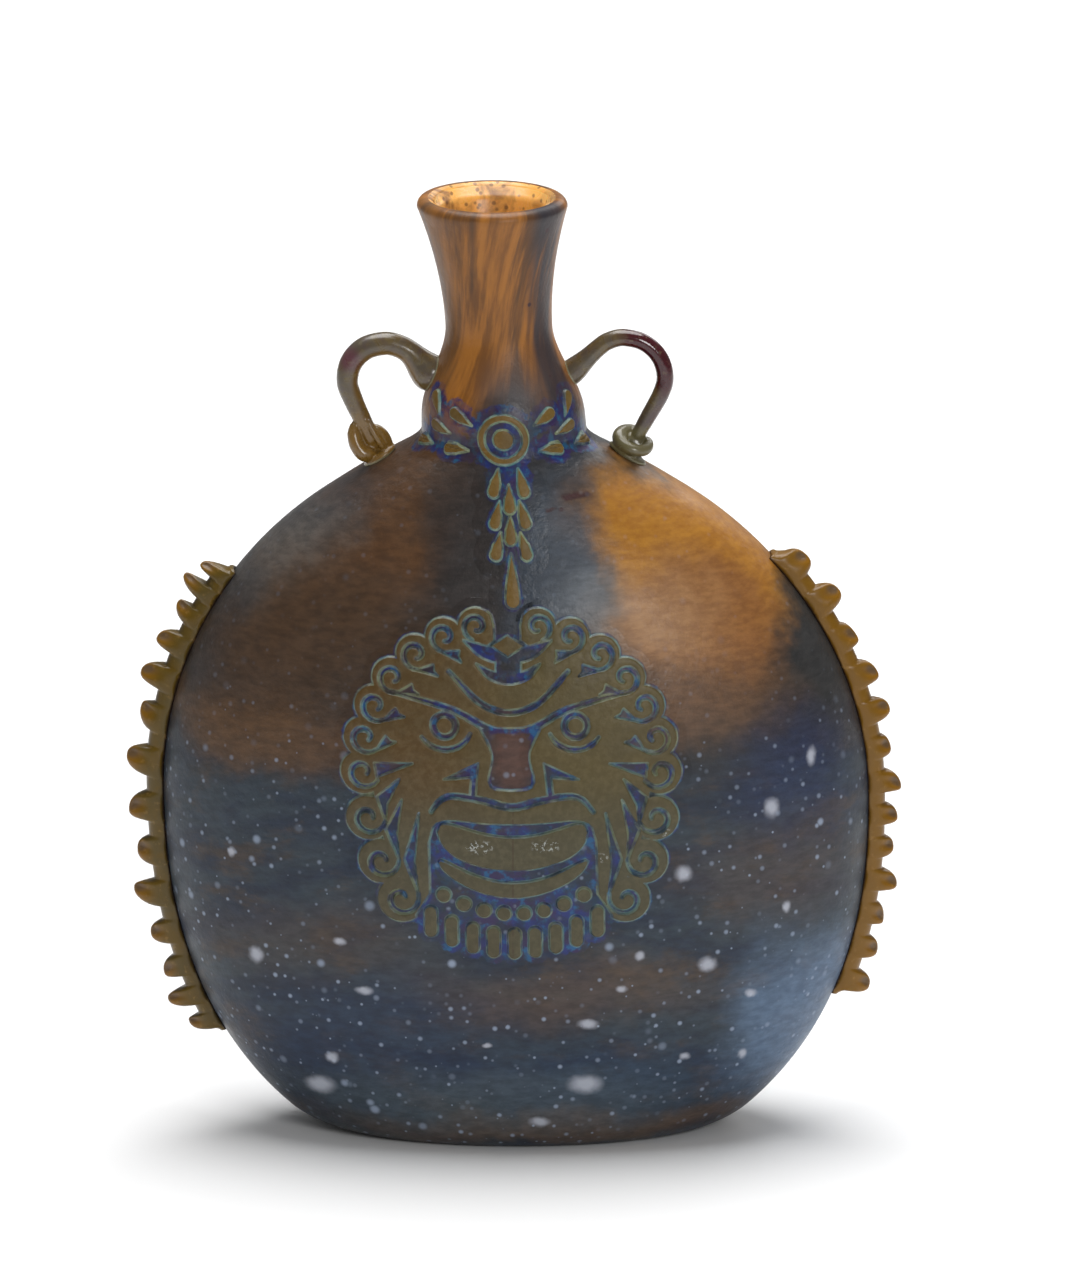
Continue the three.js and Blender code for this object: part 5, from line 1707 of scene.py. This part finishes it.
    def garland_islands(self) -> list[Island]:
        """Lists the rosette and the petals round the neck's base, their points towards it."""
        front, z0 = -math.pi / 2, self.rosette_height
        seat = self.neck_seat(front, z0)
        outer, inner = self.rosette_radius, self.rosette_radius - self.rosette_band
        made = [
            Island("cameo_rosette_ring", "rosette_ring", seat,
                   lambda p: np.minimum(in_disc(p, (0, 0), outer), -in_disc(p, (0, 0), inner)),
                   (-7, -7), (7, 7), golden=True),
            Island("cameo_rosette_boss", "rosette_boss", seat, lambda p: in_disc(p, (0, 0), self.boss_radius),
                   (-3.3, -3.3), (3.3, 3.3), golden=True, crown=0.3),
        ]
        for side, word in ((-1, "left"), (1, "right")):
            towards = 0.0 if side < 0 else math.pi
            for n, sprig in enumerate(GARLAND, 1):
                place = self.neck_seat(front + side * math.radians(sprig.turn), z0 + sprig.rise)
                point = towards + side * math.radians(sprig.tilt)
                draw = self.teardrop(self.petal_length, self.petal_width, point)
                made.append(Island(f"cameo_garland_{word}_{n}", f"garland_petal_{word}_{n}", place, draw,
                                   (-4.6, -4.6), (4.6, 4.6), golden=True))
        return made

    def profile(self, inside: np.ndarray, island: Island) -> np.ndarray:
        """Gives the relief's height from the distance inside its edge: a soft wall and a nearly flat top."""
        wall = smooth_step((inside + self.edge_width * 0.35) / self.edge_width)
        pillow = island.crown * (1.0 - np.exp(-np.clip(inside, 0, None) / 1.1))
        thick = self.thickness * (self.golden_share if island.golden else 1.0)
        return self.film + (thick - island.crown) * wall + pillow

    def settle(self, flat: Points, inside: np.ndarray, step: float) -> Points:
        """Slides the vertices nearest an edge onto it, so that the edge is drawn cleanly.

        Args:
            flat: The vertices' places in the drawing.
            inside: How far each lies inside the edge.
            step: The grid's spacing.

        Returns:
            The new places in the drawing.
        """
        cols = np.rint((flat[:, 0] - flat[:, 0].min()) / step).astype(int)
        rows = np.rint((flat[:, 1] - flat[:, 1].min()) / step).astype(int)
        table = np.zeros((rows.max() + 1, cols.max() + 1))
        table[rows, cols] = inside
        slope_y, slope_x = np.gradient(table, step)
        slope = np.stack([slope_x[rows, cols], slope_y[rows, cols]], axis=1)
        size = (slope**2).sum(axis=1).clip(0.25)
        shift = -(inside / size)[:, None] * slope
        near = (np.abs(inside) < step * 0.55)[:, None]
        return flat + np.where(near, np.clip(shift, -step * 0.45, step * 0.45), 0.0)

    def sheet(self, island: Island, others: Sequence[Island] = ()) -> bpy.types.Object:
        """Raises one island from a fine grid laid on the skin.

        Args:
            island: The island.
            others: The islands that stand on its ground, where it also carries the enamelled ground.

        Returns:
            The closed piece, with its edge distance and the enamel's reach marked on the mesh.
        """
        low, high = np.array(island.low), np.array(island.high)
        count = np.ceil((high - low) / island.step).astype(int)
        mesh, across, along = unit_grid(int(count[0]), int(count[1]))
        flat = low + np.column_stack([across * count[0], along * count[1]]) * island.step
        inside = island.draw(flat)
        flat = self.settle(flat, inside, island.step)
        near = np.abs(inside) < island.step * 3
        inside[near] = island.draw(flat[near])
        seat = island.seat
        space = np.array(seat.middle) + flat[:, :1] * np.array(seat.right) + flat[:, 1:] * np.array(seat.up)
        angle, z = self.form.onto(space, np.array(seat.out))
        if others:
            ground = np.maximum(inside, self.distance(others)(self.form.skin(angle, z)))
            reach = self.mask.reach(flat)
            margin = -reach - self.film_room
            sink = smooth_step((ground - margin) / self.film_fade)
            deep = self.film
        else:
            ground, reach = inside, np.full(len(flat), self.cameo.halo)
            margin = np.full(len(flat), -0.4)
            sink = smooth_step((inside + 0.3) / 0.2)
            deep = self.sunk
        lift = np.where(sink < 1.0, self.film * sink - deep * (1.0 - sink), self.profile(inside, island))
        set_points(mesh, self.form.leant(self.form.blown(angle, z, lift)))
        mark(mesh, "edge", ground)
        mark(mesh, "reach", reach)
        gone = [v for v, value in zip(mesh.verts, (ground < margin - island.step).tolist()) if value]
        bmesh.ops.delete(mesh, geom=gone, context="VERTS")
        bmesh.ops.delete(mesh, geom=[v for v in mesh.verts if not v.link_faces], context="VERTS")
        rim = [e for e in mesh.edges if e.is_boundary]
        raised = bmesh.ops.extrude_edge_only(mesh, edges=rim)["geom"]
        inward = -Vector(seat.out) * self.skirt * MM
        bmesh.ops.translate(mesh, verts=[g for g in raised if isinstance(g, bmesh.types.BMVert)], vec=inward)
        rim = [e for e in mesh.edges if e.is_boundary]
        bmesh.ops.holes_fill(mesh, edges=rim, sides=0)
        return finished(mesh, island.name)

    def film_sheet(self, name: str, islands: Sequence[Island]) -> bpy.types.Object:
        """Lays the enamelled ground of the garland (a collar) and the pendant (an apron) as a thin film."""
        everything, halo = self.distance(islands), self.gold.halo
        margin, border, foot = -(halo + self.film_room), self.film_border, self.film_foot
        mesh = bmesh.new()
        edge_layer, reach_layer = (mesh.verts.layers.float.new(key) for key in ("edge", "reach"))
        for upper, (nu, nv) in ((True, self.collar_faces), (False, self.apron_faces)):
            before = set(mesh.verts)
            bmesh.ops.create_grid(mesh, x_segments=nu, y_segments=nv, size=0.5)
            new = [v for v in mesh.verts if v not in before]
            uv = np.array([v.co[:2] for v in new]) + 0.5
            if upper:
                angle = -math.pi / 2 + (uv[:, 0] - 0.5) * self.collar_turn
                z = border + uv[:, 1] * self.collar_rise
            else:
                aside = self.pendant_aside + (uv[:, 0] - 0.5) * self.apron_width
                space = np.column_stack([aside, np.full(len(uv), -20.0), foot + uv[:, 1] * (border - foot)])
                angle, z = self.form.onto(space, np.array((0.0, -1.0, 0.0)))
            edge = everything(self.form.skin(angle, z))
            lift = self.film * (2.0 * smooth_step((edge - margin) / self.film_fade) - 1.0)
            reach = smooth_step((z - self.halo_height) / self.halo_fade)
            reach = self.pendant_halo + (halo - self.pendant_halo) * reach
            points = self.form.leant(self.form.blown(angle, z, lift))
            rows = zip(new, (points * MM).tolist(), edge.tolist(), reach.tolist())
            for vertex, point, inside, spread in rows:
                vertex.co = point
                vertex[edge_layer], vertex[reach_layer] = inside, spread
            bmesh.ops.delete(mesh, geom=[v for v in new if v[edge_layer] < margin - 0.3], context="VERTS")
        bmesh.ops.delete(mesh, geom=[v for v in mesh.verts if not v.link_faces], context="VERTS")
        return finished(mesh, name)

    def distance(self, islands: Sequence[Island]) -> Callable[[Points], np.ndarray]:
        """Gives a function that measures how far points in space lie inside any of some islands."""
        def measure(points: Points) -> np.ndarray:
            """Measures points in space."""
            best = np.full(len(points), -1e3)
            for island in islands:
                flat = island.seat.flat(points)
                low, high = np.array(island.low) - 5.0, np.array(island.high) + 5.0
                here = ((flat > low) & (flat < high)).all(axis=1)
                if here.any():
                    best[here] = np.maximum(best[here], island.draw(flat[here]))
            return best

        return measure

    def build(self) -> list[bpy.types.Object]:
        """Raises the whole cameo and dresses it."""
        dull, gold = self.cameo.material("cameo_olive_overlay"), self.gold.material("cameo_golden_overlay")
        seat = self.front_seat(self.mask_height, self.mask_aside)
        mask = self.mask_islands()
        face = Island("cameo_mask_field", "mask_field", seat, self.mask.face, (-45.6, -50.4), (45.6, 45.0),
                      step=self.mask_step)
        garland = [*self.garland_islands(), *self.pendant_islands()]
        made = [self.sheet(face, mask)]
        dress(made[0], dull, ["mask_field"])
        for island in [*mask, *garland]:
            piece = self.sheet(island)
            dress(piece, gold if island.golden else dull, [island.node])
            made.append(piece)
        film = self.film_sheet("cobalt_enamel_ground", garland)
        dress(film, gold, [])
        return [*made, film]


@dataclass
class Studio:
    """Pale floor, soft lights and the camera of the photograph."""

    view_height: float = 0.3185
    distance: float = 8.0
    sensor: float = 24.0
    elevation: float = 15.0
    foot_column: float = 519.5
    foot_row: float = 1120.0
    columns: float = 1080.0
    rows: float = 1264.0
    pixel: float = 0.252 * MM

    def camera(self) -> None:
        """Places a long lens at the photograph's angle, with the foot where it stands in the photograph."""
        up = math.radians(self.elevation)
        back = Vector((0, -math.cos(up), math.sin(up)))
        rise = Vector((0, math.sin(up), math.cos(up)))
        aside = (self.columns / 2 - self.foot_column) * self.pixel
        higher = (self.foot_row - self.rows / 2) * self.pixel
        aim = Vector((aside, 0, 0)) + rise * higher
        data = bpy.data.cameras.new("studio_camera")
        data.sensor_fit = "VERTICAL"
        data.sensor_height = data.sensor_width = self.sensor
        data.lens = self.sensor * self.distance / self.view_height
        data.clip_end = 50.0
        seen = bpy.data.objects.new("studio_camera", data)
        seen.location = aim + back * self.distance
        seen.rotation_euler = (-back).to_track_quat("-Z", "Y").to_euler()
        bpy.context.scene.collection.objects.link(seen)
        bpy.context.scene.camera = seen

    def floor(self) -> None:
        """Lays the floor, with a very faint unevenness in its tone."""
        mesh = bmesh.new()
        bmesh.ops.create_grid(mesh, x_segments=8, y_segments=8, size=6.0)
        data = bpy.data.meshes.new("studio_floor")
        mesh.to_mesh(data)
        mesh.free()
        ground = bpy.data.objects.new("studio_floor", data)
        bpy.context.scene.collection.objects.link(ground)
        s = Shader("studio_white")
        tone = s.mix(s.ramp(s.noise(700, 2), 0.3, 0.7), (246, 246, 246), (250, 250, 250))
        data.materials.append(s.glass(tone, 0.85, s.bump(s.noise(30, 2), 0.1, 0.1), level=0.1))

    def softbox(self, name: str, place: Sequence[float], size: float, power: float) -> None:
        """Hangs one white softbox, aimed at the vessel's middle."""
        light = bpy.data.lights.new(name, "AREA")
        light.shape = "DISK"
        light.size, light.energy = size, power
        hung = bpy.data.objects.new(name, light)
        hung.location = place
        hung.rotation_euler = (Vector((0, 0, 0.12)) - Vector(place)).to_track_quat("-Z", "Y").to_euler()
        bpy.context.scene.collection.objects.link(hung)

    def lights(self) -> None:
        """Sets the softboxes and the white surroundings."""
        self.softbox("key_softbox", (0.66, -1.62, 0.76), 0.55, 9.0)
        self.softbox("overhead_softbox", (0.0, 0.35, 2.0), 1.9, 50.0)
        self.softbox("rear_softbox", (0.9, 1.9, 1.3), 1.2, 8.0)
        world = bpy.data.worlds.new("studio_world")
        world.use_nodes = True
        world.node_tree.nodes["Background"].inputs["Color"].default_value = (1, 1, 1, 1)
        world.node_tree.nodes["Background"].inputs["Strength"].default_value = 0.22
        bpy.context.scene.world = world
        bpy.context.scene.view_settings.view_transform = "Standard"

    def build(self) -> None:
        """Makes the studio."""
        self.camera()
        self.floor()
        self.lights()


def main() -> None:
    """Builds the vase, piece by piece, in its studio."""
    logging.basicConfig(level=logging.INFO, format="%(name)s: %(message)s")
    form = VesselForm()
    Studio().build()
    Body(form).build()
    handles = Handles(form)
    handles.build_left()
    handles.build_right()
    crests = Crests(form)
    crests.build(crests.left, "pinched_crest_left", "crest_left")
    crests.build(crests.right, "pinched_crest_right", "crest_right")
    Relief(form).build()
    log.info("all pieces are made")
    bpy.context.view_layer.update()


if __name__ == "__main__":
    main()
